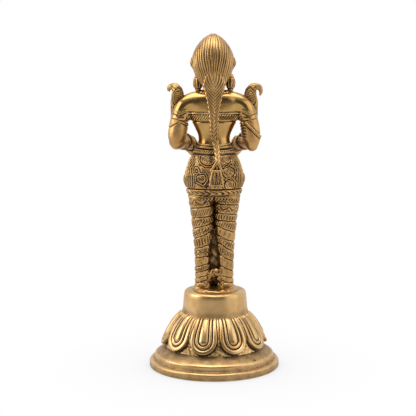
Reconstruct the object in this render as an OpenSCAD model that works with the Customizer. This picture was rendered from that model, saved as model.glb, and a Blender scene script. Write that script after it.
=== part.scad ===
// Brass oil lamp: a standing figure holds a bowl in front of it, on a round lotus pedestal.
// Millimetres. The origin is the centre of the pedestal's foot, +Z is up and the figure faces -Y.

/* [Pedestal] */
// Height of the pedestal, to the flat top that the figure stands on
pedestal_h = 47.5; // [45:0.5:52]
// Diameter of the bottom flange
flange_d = 80; // [77:1:90]
// Height of the bottom flange
flange_h = 4.6; // [3.6:0.2:6]
// Diameter of the moulded ring above the flange
ring_d = 73.4; // [69:0.2:75]
// Height of the moulded ring
ring_h = 4.2; // [3.4:0.2:5.4]
// Rise of the ring's sloping shoulder to the dome
shoulder_rise = 2.8; // [2:0.2:3.6]
// Diameter of the lotus dome, without its petals
dome_d = 63.4; // [60:0.2:66]
// Diameter of the drum at its top
drum_d = 38.8; // [36:0.2:41]
// How much wider the drum is at its foot
drum_flare = 2.4; // [0:0.2:4]
// Radius of the drum's rounded top edge
drum_edge = 2; // [1:0.2:3]
// Wall of the hollow casting
pedestal_wall = 3; // [2:0.2:4]
// Thickness of the drum's top
drum_top_t = 5; // [4:0.5:8]

/* [Lotus petals] */
// Number of petals
petal_count = 10; // [8:1:12]
// Width of a petal
petal_w = 16.4; // [12:0.2:17]
// Turn of the petals about the pedestal's axis
petal_turn = 5.2; // [0:0.2:36]
// Height of a petal's tip above the moulded ring
petal_tip = 4.6; // [3:0.2:7]
// Height of a petal's lines above the dome
petal_relief = 1.1; // [0.6:0.1:1.6]
// Width of a petal's raised line
petal_line = 1.7; // [1:0.1:1.9]
// Width of the groove between two lines
petal_groove = 0.75; // [0.4:0.05:0.9]

/* [Figure heights] */
// Thickness of the plate under the feet
foot_plate_t = 2.2; // [1.8:0.2:4]
// From the foot plate to the lower edge of the hip cloth
leg_h = 54.8; // [48:0.2:62]
// From the lower edge of the hip cloth to the belt
hip_h = 25.5; // [22:0.5:29]
// Height of the triple belt
belt_h = 8; // [6:0.5:10]
// How far the belts stand out
belt_out = 0.9; // [0.6:0.1:1.2]
// From the belt to the line of the shoulders
torso_h = 21.5; // [19:0.5:25]
// From the line of the shoulders to the middle of the head
neck_h = 27.3; // [25:0.1:30]
// Height of the head
head_h = 32.4; // [29:0.2:35]

/* [Figure widths] */
// Diameter of the foot plate
foot_plate_d = 31; // [29:0.5:33]
// Distance of a leg's axis from the middle
leg_x = 7.7; // [7:0.1:8.4]
// Width of a leg at the hip cloth
thigh_w = 15.4; // [14:0.2:17]
// Width of a leg above the ankle
shin_w = 9; // [8:0.2:10.5]
// Bands of pleated cloth round a leg
band_count = 11; // [8:1:13]
// Depth of the groove between two bands
band_groove = 0.55; // [0.3:0.05:0.8]
// Width across the hips
hip_w = 37; // [34:0.5:40]
// Depth of the hips
hip_d = 25; // [23:0.5:27]
// Width of the waist
waist_w = 18.8; // [17:0.2:21]
// Depth of the waist
waist_d = 15; // [13.5:0.5:17]
// Width of the chest
chest_w = 29.4; // [28:0.2:31]
// Depth of the chest
chest_d = 18; // [16.5:0.5:19.5]
// Distance between the shoulders' centres
shoulder_w = 37.4; // [35:0.2:40]
// Diameter of an upper arm
arm_d = 11.4; // [10:0.2:12.4]
// Diameter of the neck
neck_d = 10.4; // [9:0.2:12]
// Width of the head
head_w = 24.6; // [22:0.2:27]
// Depth of the head
head_d = 26; // [24:0.5:28]

/* [Plait] */
// Width of the plait at the nape
plait_w = 12.6; // [11:0.2:14]
// Width of the plait at its lower end
plait_end_w = 3.8; // [3:0.1:4.6]
// Pairs of strands that show down the plait
plait_turns = 7; // [5:1:9]
// Length of the tassel
tassel_h = 11; // [8:0.5:13]
// Width of the tassel's lower edge
tassel_w = 9; // [7:0.2:11]

/* [Arms and bowl] */
// How far the elbow hangs below the shoulder
elbow_drop = 20.9; // [18:0.1:23]
// Distance of the elbow from the middle
elbow_x = 22.8; // [21.5:0.1:24.5]
// Share of the upper arm above the armlet joint
armlet_at = 0.44; // [0.38:0.01:0.5]
// Diameter of the wrist
wrist_d = 6.4; // [5.4:0.2:7.4]
// Distance of the bowl's middle in front of the figure's axis
bowl_y = 25; // [24.5:0.5:26]
// Height of the bowl's rim above the belt's lower edge
bowl_rise = 5.4; // [4:0.2:7]
// Diameter of the bowl's rim
bowl_d = 21.4; // [19:0.2:22]
// Height of the bowl
bowl_h = 8.4; // [7:0.2:10]
// Wall of the bowl
bowl_wall = 1.3; // [1:0.1:1.8]
// How far the wick spout stands out past the rim
spout_l = 3.8; // [2:0.2:4]

/* [Birds] */
// Height of a bird from its seat to its crown
bird_h = 11.6; // [10:0.2:13]
// Width of a bird's breast
bird_w = 7.6; // [6.6:0.2:8.6]
// Length of a bird's tail below its seat
bird_tail = 12.5; // [10:0.5:14]
// Turn of the left bird towards the front
left_bird_turn = 30; // [0:5:45]
// Turn of the right bird towards the front
right_bird_turn = 4; // [0:1:45]

/* [Fastening] */
// Diameter of the stud under the figure
stud_d = 5; // [4:0.5:6]
// Length of the spigot that the drum holds
spigot_h = 4; // [3:0.5:4]
// Diameter of the spigot
spigot_d = 10; // [9:0.5:13]
// Diameter of the dowels in the arms
dowel_d = 3; // [2:0.25:3.5]
// Length of the dowels in the arms
dowel_l = 10; // [8:0.5:12]
// Diameter of the pins that hold the birds
bird_pin_d = 1.8; // [1.2:0.1:2]
// Length of the pins that hold the birds
bird_pin_l = 8; // [7:0.5:9]
// Gap left for braze between two castings
braze_gap = 0.1; // [0.05:0.05:0.2]
// Radial clearance of a pin in its hole
pin_clear = 0.05; // [0.02:0.01:0.1]

/* [Hidden] */
$fn = 64;
brass = "#B08D4A";
dark_brass = "#8A6A32";
steel = "#9A9A98";

foot_h = flange_h + ring_h;
dome_r = dome_d / 2;
drum_sink = 0.3;
drum_z = foot_h + sqrt(pow(dome_r, 2) - pow(drum_d / 2 + drum_flare / 2, 2)) - drum_sink;
ankle_z = pedestal_h + foot_plate_t;
hem_z = ankle_z + leg_h;
belt_z = hem_z + hip_h;
waist_z = belt_z + belt_h;
shoulder_z = waist_z + torso_h;
head_z = shoulder_z + neck_h;
elbow_z = shoulder_z - elbow_drop;
bowl_rim_z = belt_z + bowl_rise;
bowl_z = bowl_rim_z - bowl_h;
washer_t = stud_d * 0.24;
washer_d = stud_d * 2.6;
nut_h = stud_d * 0.8;
nut_d = 2 * stud_d;
stud_up = spigot_h + foot_plate_t * 0.7;
stud_l = stud_up + drum_top_t - spigot_h + washer_t + nut_h + stud_d * 0.4;
stud_base_z = pedestal_h - spigot_h + stud_up - stud_l;

// Curves and skins

function unit(v) = v / norm(v);

// Point at share t on the smooth curve from b to c, with a before and d after them
function curve(a, b, c, d, t) =
  0.5 * (2 * b + (c - a) * t + (2 * a - 5 * b + 4 * c - d) * t * t + (3 * b - a - 3 * c + d) * t * t * t);

// Station at share u of a list of stations
function along(list, u) =
  let (n = len(list) - 1, i = min(floor(u * n), n - 1))
  curve(list[max(i - 1, 0)], list[i], list[i + 1], list[min(i + 2, n)], u * n - i);

// Index of the stretch of a list of stations that holds height z
function stretch(list, z, i = 0) =
  i >= len(list) - 2 || z < list[i + 1].z ? i : stretch(list, z, i + 1);

// Station at height z of a list of stations [x, y, z, half width, half depth]
function section(list, z) =
  let (
    i = stretch(list, z),
    n = len(list) - 1,
    t = (z - list[i].z) / (list[i + 1].z - list[i].z),
    s = curve(list[max(i - 1, 0)], list[i], list[i + 1], list[min(i + 2, n)], t)
  ) [s.x, s.y, z, s[3], s[4]];

// Level ring of points round a station, grown by an amount
function ring(s, sides, grow = 0) = [
  for (i = [0:sides - 1]) let (a = 360 * i / sides)
    [s.x + (s[3] + grow) * cos(a), s.y + (s[4] + grow) * sin(a), s.z]
];

// Closed skin over rows of points, each row a ring of the same number of sides
module skin(points, sides) {
  rows = len(points) / sides;
  walls = [
    for (k = [0:rows - 2]) for (i = [0:sides - 1])
      let (a = k * sides + i, b = k * sides + (i + 1) % sides)
        each [[a, a + sides, b + sides], [a, b + sides, b]]
  ];
  foot = [[for (i = [0:sides - 1]) i]];
  head = [[for (i = [sides - 1:-1:0]) (rows - 1) * sides + i]];
  polyhedron(points, concat(foot, walls, head), convexity = 6);
}

// Rows at even shares of a form, without an offset
function even(n) = [for (k = [0:n]) [k / n, 0]];

// Rows of a band from z0 to z1 that stands out by an amount
function band(z0, z1, out) =
  [[z0, 0], [z0 + (z1 - z0) * 0.12, out], [z1 - (z1 - z0) * 0.12, out], [z1, 0]];

// Upright form through stations [x, y, z, half width, half depth], with rows [height, offset]
module loft(stations, rows, sides) {
  skin([for (row = rows) each ring(section(stations, row[0]), sides, row[1])], sides);
}

// Upright form with rows at even heights
module even_loft(stations, n, sides) {
  z0 = stations[0].z;
  z1 = stations[len(stations) - 1].z;
  loft(stations, [for (row = even(n)) [z0 + (z1 - z0) * row[0], 0]], sides);
}

// Points across a limb at place p: w to the side and d along the other direction, square to t
function limb_ring(p, t, ref, w, d, sides) =
  let (side = unit(cross(ref, t)), other = cross(t, side))
  [for (i = [0:sides - 1]) let (a = 360 * i / sides) p + side * w * cos(a) + other * d * sin(a)];

// Limb along stations [x, y, z, half width, half depth], with rows [share, offset]
module limb(stations, rows, sides, ref = [0, 1, 0], grow = 0, round_start = true, round_end = true) {
  cap_steps = 3;
  cap = [for (k = [cap_steps - 1:-1:1]) 90 * k / cap_steps];
  place = function(s) [s.x, s.y, s.z];
  way = function(u) unit(place(along(stations, min(u + 0.03, 1))) - place(along(stations, max(u - 0.03, 0))));
  body = [
    for (row = rows) let (s = along(stations, row[0]), out = row[1] + grow)
      each limb_ring(place(s), way(row[0]), ref, s[3] + out, s[4] + out, sides)
  ];
  end_cap = function(row, from, angle)
    let (s = along(stations, row[0]), out = row[1] + grow, w = s[3] + out, d = s[4] + out, t = way(row[0]))
    limb_ring(place(s) + t * from * min(w, d) * sin(angle), t, ref, w * cos(angle), d * cos(angle), sides);
  last = rows[len(rows) - 1];
  start = round_start ? [for (angle = cap) each end_cap(rows[0], -1, angle)] : [];
  finish = round_end ? [for (i = [1:-1:0]) each end_cap(last, 1, cap[i])] : [];
  skin(concat(start, body, finish), sides);
}

// Ellipsoid with its middle at c and half sizes r
module ellipsoid(c, r, sides = 10) {
  translate(c) scale(r) sphere(1, $fn = sides);
}

// One casting: its forms fused into a single closed skin, at the size they are drawn
module cast() {
  resize([0, 0, 0]) union() children();
}

module both_sides() {
  children();
  mirror([1, 0, 0]) children();
}

// Pedestal

// Foot of the pedestal in profile: a rounded flange, a cove, a rounded ring and its shoulder
module foot_profile() {
  edge = flange_h * 0.3;
  bead = ring_h * 0.36;
  r1 = flange_d / 2;
  r2 = ring_d / 2;
  quarter = [0:15:90];
  polygon(concat(
    [[0, 0], [r1 - edge, 0]],
    [for (a = quarter) [r1 - edge + edge * sin(a), edge - edge * cos(a)]],
    [for (a = quarter) [r1 - edge + edge * cos(a), flange_h - edge + edge * sin(a)]],
    [[r2 - bead * 0.5, flange_h + ring_h * 0.16]],
    [for (a = [-60:15:60]) [r2 - bead + bead * cos(a), foot_h - bead + bead * sin(a)]],
    [[dome_r - pedestal_wall * 0.1, foot_h + shoulder_rise], [0, foot_h + shoulder_rise]]
  ));
}

// Drum in profile, with its flared foot and rounded top edge
module drum_profile() {
  r = drum_d / 2;
  flare_h = drum_flare * 2;
  polygon(concat(
    [[0, foot_h + 1], [r + drum_flare / 2 - 0.4, drum_z - 3], [r + drum_flare / 2, drum_z]],
    [for (a = [0:15:90]) [r + drum_flare / 2 * pow(1 - sin(a), 2), drum_z + flare_h * sin(a)]],
    [for (a = [0:15:90]) [r - drum_edge + drum_edge * cos(a), pedestal_h - drum_edge + drum_edge * sin(a)]],
    [[0, pedestal_h]]
  ));
}

// Petal outline seen from outside, drawn in by an inset
module petal_outline(inset) {
  r = petal_w / 2 - inset;
  top = drum_z - foot_h - petal_tip - petal_w / 2 + 2;
  union() {
    circle(r);
    polygon([[-r * 0.97, -1], [r * 0.97, -1], [r * 0.62, top], [-r * 0.62, top]]);
  }
}

// Raised lines of one petal: an outer lip, an inner lip and a tongue
module petal_lines() {
  step = petal_line + petal_groove;
  difference() {
    petal_outline(0);
    petal_outline(petal_line);
  }
  difference() {
    petal_outline(step);
    petal_outline(step + petal_line * 0.75);
  }
  petal_outline(step + petal_line * 0.75 + petal_groove);
}

module petals() {
  intersection() {
    translate([0, 0, foot_h]) sphere(dome_r + petal_relief);
    for (i = [0:petal_count - 1])
      rotate([0, 0, petal_turn + 360 * i / petal_count])
        translate([dome_r * 0.5, 0, foot_h + petal_tip + petal_w / 2])
          rotate([90, 0, 90]) linear_extrude(dome_r) petal_lines();
  }
}

module pedestal_hollow() {
  translate([0, 0, -1]) cylinder(h = foot_h + 1, r = dome_r - pedestal_wall);
  translate([0, 0, foot_h]) sphere(dome_r - pedestal_wall);
  translate([0, 0, foot_h]) cylinder(h = pedestal_h - drum_top_t - foot_h, r = drum_d / 2 - pedestal_wall);
}

module pedestal() {
  color(brass) difference() {
    union() {
      rotate_extrude() foot_profile();
      intersection() {
        translate([0, 0, foot_h]) sphere(dome_r);
        translate([0, 0, foot_h]) cylinder(h = dome_r, r = dome_r + 1);
      }
      rotate_extrude() drum_profile();
      petals();
    }
    difference() {
      pedestal_hollow();
      translate([0, 0, pedestal_h - drum_top_t]) cylinder(h = dome_r, r = dome_r);
    }
    translate([0, 0, pedestal_h - spigot_h - 0.5]) cylinder(h = spigot_h + 2, d = spigot_d + 2 * pin_clear);
    translate([0, 0, pedestal_h - drum_top_t - 1]) cylinder(h = drum_top_t, d = stud_d + 1);
  }
}

// Figure

// Trunk from the hip cloth to the neck: [x, y, height, half width, half depth]
trunk = [
  [0, hip_d * 0.024, hem_z, hip_w * 0.455, hip_d * 0.44],
  [0, hip_d * 0.032, hem_z + hip_h * 0.18, hip_w * 0.472, hip_d * 0.47],
  [0, hip_d * 0.04, hem_z + hip_h * 0.40, hip_w * 0.5, hip_d * 0.5],
  [0, hip_d * 0.032, hem_z + hip_h * 0.74, hip_w * 0.458, hip_d * 0.44],
  [0, hip_d * 0.008, belt_z, hip_w * 0.375, hip_d * 0.37],
  [0, 0, belt_z + belt_h * 0.5, waist_w * 0.61, waist_d * 0.55],
  [0, 0, waist_z + torso_h * 0.08, waist_w * 0.5, waist_d * 0.5],
  [0, 0, waist_z + torso_h * 0.36, chest_w * 0.38, chest_d * 0.43],
  [0, 0, waist_z + torso_h * 0.6, chest_w * 0.47, chest_d * 0.49],
  [0, 0, waist_z + torso_h * 0.84, chest_w * 0.5, chest_d * 0.5],
  [0, 0, shoulder_z + neck_h * 0.055, chest_w * 0.45, chest_d * 0.44],
  [0, 0, shoulder_z + neck_h * 0.22, neck_d * 0.86, neck_d * 0.64],
  [0, 0, shoulder_z + neck_h * 0.36, neck_d * 0.52, neck_d * 0.52],
  [0, 0, shoulder_z + neck_h * 0.6, neck_d * 0.5, neck_d * 0.5]
];

// Leg from the foot plate into the hip cloth
leg_line = [
  [leg_x * 0.96, shin_w * 0.045, ankle_z - foot_plate_t * 0.5, shin_w * 0.54, shin_w * 0.58],
  [leg_x, shin_w * 0.045, ankle_z + leg_h * 0.12, shin_w * 0.5, shin_w * 0.54],
  [leg_x * 1.026, shin_w * 0.09, ankle_z + leg_h * 0.3, shin_w * 0.5, shin_w * 0.6],
  [leg_x * 1.013, shin_w * 0.045, ankle_z + leg_h * 0.5, thigh_w * 0.34, thigh_w * 0.39],
  [leg_x, shin_w * 0.045, ankle_z + leg_h * 0.75, thigh_w * 0.43, thigh_w * 0.5],
  [leg_x, shin_w * 0.067, hem_z + leg_h * 0.036, thigh_w * 0.5, thigh_w * 0.62]
];

// Pleated leg: each band of cloth starts in a groove and rises towards the inseam
module leg() {
  sides = 12;
  rise = shin_w / 6;
  swell = band_groove / 5;
  z0 = leg_line[0].z;
  pitch = (leg_line[len(leg_line) - 1].z - z0) / band_count;
  rows = [for (b = [0:band_count - 1]) each [[b, -band_groove], [b + 0.16, swell], [b + 0.86, swell]]];
  skin([
    for (row = rows)
      let (s = section(leg_line, z0 + row[0] * pitch), slope = rise * min(row[0] / 2, 1))
        each [for (p = ring(s, sides, row[1])) p + [0, 0, -slope * (p.x - s.x) / s[3]]]
  ], sides);
}

// Fall of cloth between the legs, in front
module front_pleat() {
  even_loft([
    [0, -shin_w * 0.58, ankle_z - foot_plate_t * 0.18, leg_x * 0.95, shin_w * 0.29],
    [0, -shin_w * 0.51, ankle_z + leg_h * 0.2, leg_x * 0.72, shin_w * 0.245],
    [0, -shin_w * 0.58, ankle_z + leg_h * 0.6, leg_x * 0.62, shin_w * 0.245],
    [0, -shin_w * 0.78, hem_z + leg_h * 0.018, leg_x * 0.6, shin_w * 0.267]
  ], 6, 12);
}

module feet() {
  both_sides() ellipsoid([leg_x * 0.92, -shin_w * 0.51, ankle_z + shin_w * 0.1], shin_w * [0.4, 0.96, 0.245]);
  // Web of metal between the ankles
  ellipsoid([0, 0, ankle_z + leg_h * 0.165], [leg_x * 0.75, shin_w * 0.38, shin_w * 0.21], 8);
}

module foot_plate() {
  r = foot_plate_d / 2;
  y = -r * 0.04;
  even_loft([
    [0, y, pedestal_h, r, r],
    [0, y, pedestal_h + foot_plate_t * 0.45, r, r],
    [0, y, pedestal_h + foot_plate_t * 0.8, r * 0.955, r * 0.955],
    [0, y, ankle_z, r * 0.86, r * 0.86]
  ], 3, 28);
}

// Rows of the trunk: hem, hip band, three belts and the chest band stand out from it
trunk_rows = concat(
  band(hem_z, hem_z + hip_h * 0.17, belt_out * 0.28),
  band(hem_z + hip_h * 0.19, hem_z + hip_h * 0.31, belt_out * 0.55),
  [for (t = [0.4:0.12:0.88]) [hem_z + hip_h * t, 0]],
  band(belt_z, belt_z + belt_h * 0.38, belt_out),
  band(belt_z + belt_h * 0.42, belt_z + belt_h * 0.68, belt_out),
  band(belt_z + belt_h * 0.72, belt_z + belt_h * 0.98, belt_out * 0.78),
  [for (t = [0.1:0.14:0.52]) [waist_z + torso_h * t, 0]],
  band(waist_z + torso_h * 0.56, waist_z + torso_h * 0.82, belt_out * 0.55),
  [for (t = [0, 0.07, 0.14, 0.2, 0.26, 0.32, 0.4, 0.6]) [shoulder_z + neck_h * t, 0]]
);

module trunk_forms() {
  loft(trunk, trunk_rows, 22);
  both_sides() {
    ellipsoid([hip_w * 0.485, hip_d * 0.032, hem_z + hip_h * 0.38], hip_d * [0.056, 0.128, 0.088], 8);
    // Bust under the bodice, and the shoulder blades
    ellipsoid([chest_w * 0.21, -chest_d * 0.39, waist_z + torso_h * 0.72], chest_d * [0.29, 0.25, 0.27]);
    ellipsoid([chest_w * 0.31, chest_d * 0.13, shoulder_z + chest_d * 0.04], chest_d * [0.5, 0.32, 0.37], 12);
  }
}

// Shoulder and upper arm: [x, y, z, half width, half depth], to the elbow
arm_line = [
  [0, arm_d * 0.018, shoulder_z + arm_d * 0.22, arm_d * 0.61, arm_d * 0.55],
  [shoulder_w * 0.25, arm_d * 0.018, shoulder_z + arm_d * 0.25, arm_d * 0.58, arm_d * 0.56],
  [shoulder_w * 0.46, arm_d * 0.026, shoulder_z + arm_d * 0.03, arm_d * 0.52, arm_d * 0.53],
  [elbow_x - arm_d * 0.14, arm_d * 0.07, shoulder_z - elbow_drop * 0.45, arm_d * 0.5, arm_d * 0.5],
  [elbow_x, arm_d * 0.123, elbow_z, arm_d * 0.49, arm_d * 0.5]
];
// The armlet joint lies on the last stretch of the arm
joint_u = 0.5 + 0.5 * armlet_at;
joint_s = along(arm_line, joint_u);
joint_p = [joint_s.x, joint_s.y, joint_s.z];
joint_a = along(arm_line, joint_u - 0.03);
joint_b = along(arm_line, joint_u + 0.03);
joint_way = unit([joint_b.x - joint_a.x, joint_b.y - joint_a.y, joint_b.z - joint_a.z]);

// Upper arm, ending in a beaded armlet at the joint
module upper_arm(grow = 0) {
  armlet = [[-0.09, 0], [-0.075, 0.062], [-0.05, 0.03], [-0.025, 0.066], [0, 0.066]];
  rows = concat(
    [for (u = [0.12:0.08:0.6]) [u, 0]],
    [for (row = armlet) [joint_u + row[0], arm_d * row[1]]]
  );
  limb(arm_line, rows, 14, grow = grow, round_start = false, round_end = false);
}

// Egg-shaped form: half sizes above the middle and below it
module egg(c, r, below, sides, rings) {
  skin([
    for (k = [0:rings])
      let (a = -88 + 176 * k / rings)
        each ring([c.x, c.y, c.z + (a < 0 ? below : r.z) * sin(a), r.x * cos(a), r.y * cos(a)], sides)
  ], sides);
}

module head() {
  egg([0, head_d * 0.038, head_z], [head_w / 2, head_d / 2, head_h / 2], head_h * 0.54, 18, 9);
  // Hair drawn together at the nape
  limb([
    [0, head_d * 0.12, head_z + head_h * 0.04, head_w * 0.43, head_d * 0.31],
    [0, head_d * 0.2, head_z - head_h * 0.21, head_w * 0.36, head_d * 0.27],
    [0, head_d * 0.27, head_z - head_h * 0.4, head_w * 0.27, head_d * 0.19],
    [0, head_d * 0.29, head_z - head_h * 0.58, head_w * 0.2, head_d * 0.15]
  ], even(4), 12);
  // Face, with its brow, nose, lips and chin
  face_z = head_z - head_h * 0.12;
  egg([0, -head_d * 0.17, face_z], [head_w * 0.4, head_d * 0.4, head_h * 0.36], head_h * 0.37, 16, 8);
  ellipsoid([0, -head_d * 0.56, face_z - head_h * 0.03], head_w * [0.061, 0.069, 0.11], 8);
  ellipsoid([0, -head_d * 0.535, face_z - head_h * 0.155], head_w * [0.098, 0.049, 0.045], 8);
  both_sides() {
    ellipsoid([head_w * 0.17, -head_d * 0.5, face_z + head_h * 0.065], head_w * [0.085, 0.041, 0.037], 8);
    ellipsoid([head_w * 0.508, head_w * 0.016, head_z - head_h * 0.02], head_w * [0.061, 0.11, 0.138], 8);
    ellipsoid([head_w * 0.392, -head_w * 0.024, head_z - head_h * 0.375], head_w * [0.11, 0.106, 0.205], 12);
  }
}

// Plait down the back: [x, y, z, half width, half depth]
plait = [
  [0, head_d * 0.33, head_z - head_h * 0.34, plait_w * 0.56, plait_w * 0.286],
  [0, chest_d * 0.5, shoulder_z + neck_h * 0.28, plait_w * 0.44, plait_w * 0.222],
  [0, chest_d * 0.53, shoulder_z + neck_h * 0.02, plait_w * 0.31, plait_w * 0.183],
  [0, chest_d * 0.55, waist_z + torso_h * 0.7, plait_w * 0.255, plait_w * 0.167],
  [0, chest_d * 0.54, waist_z + torso_h * 0.4, plait_w * 0.22, plait_w * 0.159],
  [-plait_end_w * 0.1, waist_d * 0.58, waist_z + torso_h * 0.1, plait_end_w * 0.62, plait_end_w * 0.5],
  [-plait_end_w * 0.45, waist_d * 0.64, waist_z - belt_h * 0.3, plait_end_w * 0.55, plait_end_w * 0.475],
  [-plait_end_w * 0.63, hip_d * 0.45, belt_z - hip_h * 0.02, plait_end_w * 0.5, plait_end_w * 0.475],
  [-plait_end_w * 0.63, hip_d * 0.51, belt_z - hip_h * 0.18, plait_end_w * 0.5, plait_end_w * 0.45]
];

// Plait of crossing strands: each strand leans in from one edge to the other
module plait_strands() {
  limb(plait, even(9), 8, grow = -plait_end_w / 7);
  n = 2 * plait_turns;
  for (k = [1:n - 1]) {
    s = along(plait, 0.12 + 0.86 * pow(k / n, 0.8));
    hand = k % 2 == 0 ? 1 : -1;
    translate([s.x + hand * s[3] * 0.36, s.y + s[4] * 0.28, s.z]) rotate([0, hand * 32, 0])
      scale([s[3] * 0.5, s[4] * 0.8, max(s[3], plait_end_w * 0.53) * 0.92]) sphere(1, $fn = 8);
  }
}

// Tassel at the plait's end: a knot over a flared bell of threads
module tassel() {
  knot_z = belt_z - hip_h * 0.22;
  end_z = knot_z - tassel_h;
  x = -tassel_w / 6;
  ellipsoid([x - tassel_w * 0.08, hip_d * 0.53, knot_z], tassel_w * [0.29, 0.21, 0.167], 8);
  even_loft([
    [x, hip_d * 0.535, end_z, tassel_w * 0.5, tassel_w * 0.22],
    [x, hip_d * 0.54, end_z + tassel_h * 0.16, tassel_w * 0.46, tassel_w * 0.22],
    [x - tassel_w * 0.02, hip_d * 0.535, end_z + tassel_h * 0.55, tassel_w * 0.37, tassel_w * 0.21],
    [x - tassel_w * 0.055, hip_d * 0.53, knot_z, tassel_w * 0.24, tassel_w * 0.18]
  ], 5, 12);
}

// Solid castings of the figure, without the holes for its pins
module figure_forms() {
  foot_plate();
  both_sides() leg();
  front_pleat();
  feet();
  trunk_forms();
  both_sides() upper_arm();
  head();
  plait_strands();
  tassel();
}

module figure() {
  color(brass) difference() {
    union() {
      cast() figure_forms();
      translate([0, 0, pedestal_h - spigot_h]) cylinder(h = spigot_h + foot_plate_t * 0.5, d = spigot_d);
    }
    translate([0, 0, pedestal_h - spigot_h - 1]) cylinder(h = stud_up + 1, d = stud_d + 2 * pin_clear);
    both_sides() {
      dowel(pin_clear);
      bird_pin(pin_clear);
    }
  }
}

// Forearms

wrist_p = [bowl_d * 0.54, -bowl_y + bowl_d * 0.22, bowl_z + bowl_h * 0.42];

palm_p = [bowl_d * 0.4, -bowl_y + bowl_d * 0.04, bowl_z + bowl_h * 0.12];

// Elbow, forearm and palm of the left side, from the armlet joint to under the bowl
module forearm_forms() {
  limb(arm_line, [for (t = [0, 0.2, 0.4, 0.6, 0.8, 1]) [joint_u + (1 - joint_u) * t, 0]], 14,
    round_start = false);
  bangles = [for (u = [0.54, 0.61, 0.68]) each [[u - 0.025, 0], [u, wrist_d / 8], [u + 0.025, 0]]];
  limb([
    [elbow_x * 0.99, arm_d * 0.053, elbow_z - arm_d * 0.018, arm_d * 0.46, arm_d * 0.46],
    [elbow_x * 0.87, -bowl_y * 0.28, elbow_z - arm_d * 0.02, arm_d * 0.44, arm_d * 0.44],
    [elbow_x * 0.68, -bowl_y * 0.55, elbow_z - arm_d * 0.18, arm_d * 0.39, arm_d * 0.39],
    concat(wrist_p, [wrist_d * 0.5, wrist_d * 0.46]),
    concat(palm_p, [wrist_d * 0.56, wrist_d * 0.36])
  ], concat([[0, 0], [0.15, 0], [0.3, 0], [0.45, 0]], bangles, [[0.77, 0], [0.88, 0], [1, 0]]), 14,
    ref = [0, 0, 1]);
  hand();
}

// Fingers along the bowl's wall, and a thumb below its rim
module hand() {
  finger_r = wrist_d / 5;
  for (f = [0:3]) {
    a = 8 - 21 * f;
    at = function(r, lift, w) [r * cos(a), -bowl_y + r * sin(a), bowl_z + bowl_h * lift, w, w];
    limb([
      concat(palm_p, [finger_r, finger_r]) * 0.75 + at(bowl_d * 0.3, 0, finger_r) * 0.25,
      at(bowl_d * 0.43, 0.03, finger_r),
      at(bowl_d * 0.485, 0.28, finger_r * 0.93),
      at(bowl_d * 0.52, 0.52, finger_r * 0.78)
    ], even(4), 6, ref = [0, 0.2, 1]);
  }
  limb([
    concat((wrist_p + palm_p) / 2, finger_r * [1.33, 1.33]),
    concat([bowl_d * 0.55, -bowl_y + bowl_d * 0.17, bowl_z + bowl_h * 0.6], finger_r * [1.1, 1.1]),
    concat([bowl_d * 0.57, -bowl_y + bowl_d * 0.04, bowl_z + bowl_h * 0.74], finger_r * [0.82, 0.82])
  ], even(3), 6, ref = [1, 0, 0]);
}

module forearm() {
  difference() {
    cast() difference() {
      forearm_forms();
      bowl_body(braze_gap);
    }
    dowel(pin_clear);
  }
}

module left_forearm() {
  color(dark_brass) forearm();
}

module right_forearm() {
  color(dark_brass) mirror([1, 0, 0]) forearm();
}

// Bowl

// Radius of the bowl's teardrop plan at an angle, for a round radius and a share of the spout
function teardrop(r, a, share) = r + spout_l * share * exp(-pow((a - 270) / 21, 2));

// Bowl from its foot up the outside, over the rim and down the inside; grown, it is a solid plug
module bowl_body(grow = 0) {
  sides = 32;
  r = bowl_d / 2;
  h = bowl_h;
  outside = [
    [r * 0.44, 0, 0], [r * 0.47, h * 0.09, 0], [r * 0.44, h * 0.16, 0], [r * 0.7, h * 0.3, 0.1],
    [r * 0.88, h * 0.52, 0.4], [r * 0.965, h * 0.76, 0.75], [r * 0.97, h * 0.88, 0.9],
    [r, h * 0.92, 1], [r, h, 1]
  ];
  inside = [
    [r - bowl_wall, h, 1], [r * 0.94 - bowl_wall, h * 0.74, 0.7], [r * 0.84 - bowl_wall, h * 0.54, 0.35],
    [r * 0.6 - bowl_wall, h * 0.36, 0.1], [r * 0.2, h * 0.29, 0]
  ];
  rows = grow > 0 ? concat(outside, [[r * 0.98, h + 2, 1]]) : concat(outside, inside);
  translate([0, -bowl_y, bowl_z - grow]) skin([
    for (row = rows) for (i = [0:sides - 1])
      let (a = 360 * i / sides, d = teardrop(row[0] + grow, a, row[2]))
        [d * cos(a), d * sin(a), row[1]]
  ], sides);
}

module lamp_bowl() {
  color(brass) bowl_body();
}

// Birds

bird_seat = [shoulder_w * 0.5 + arm_d * 0.37, -arm_d * 0.23, shoulder_z + arm_d * 0.39];

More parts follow.
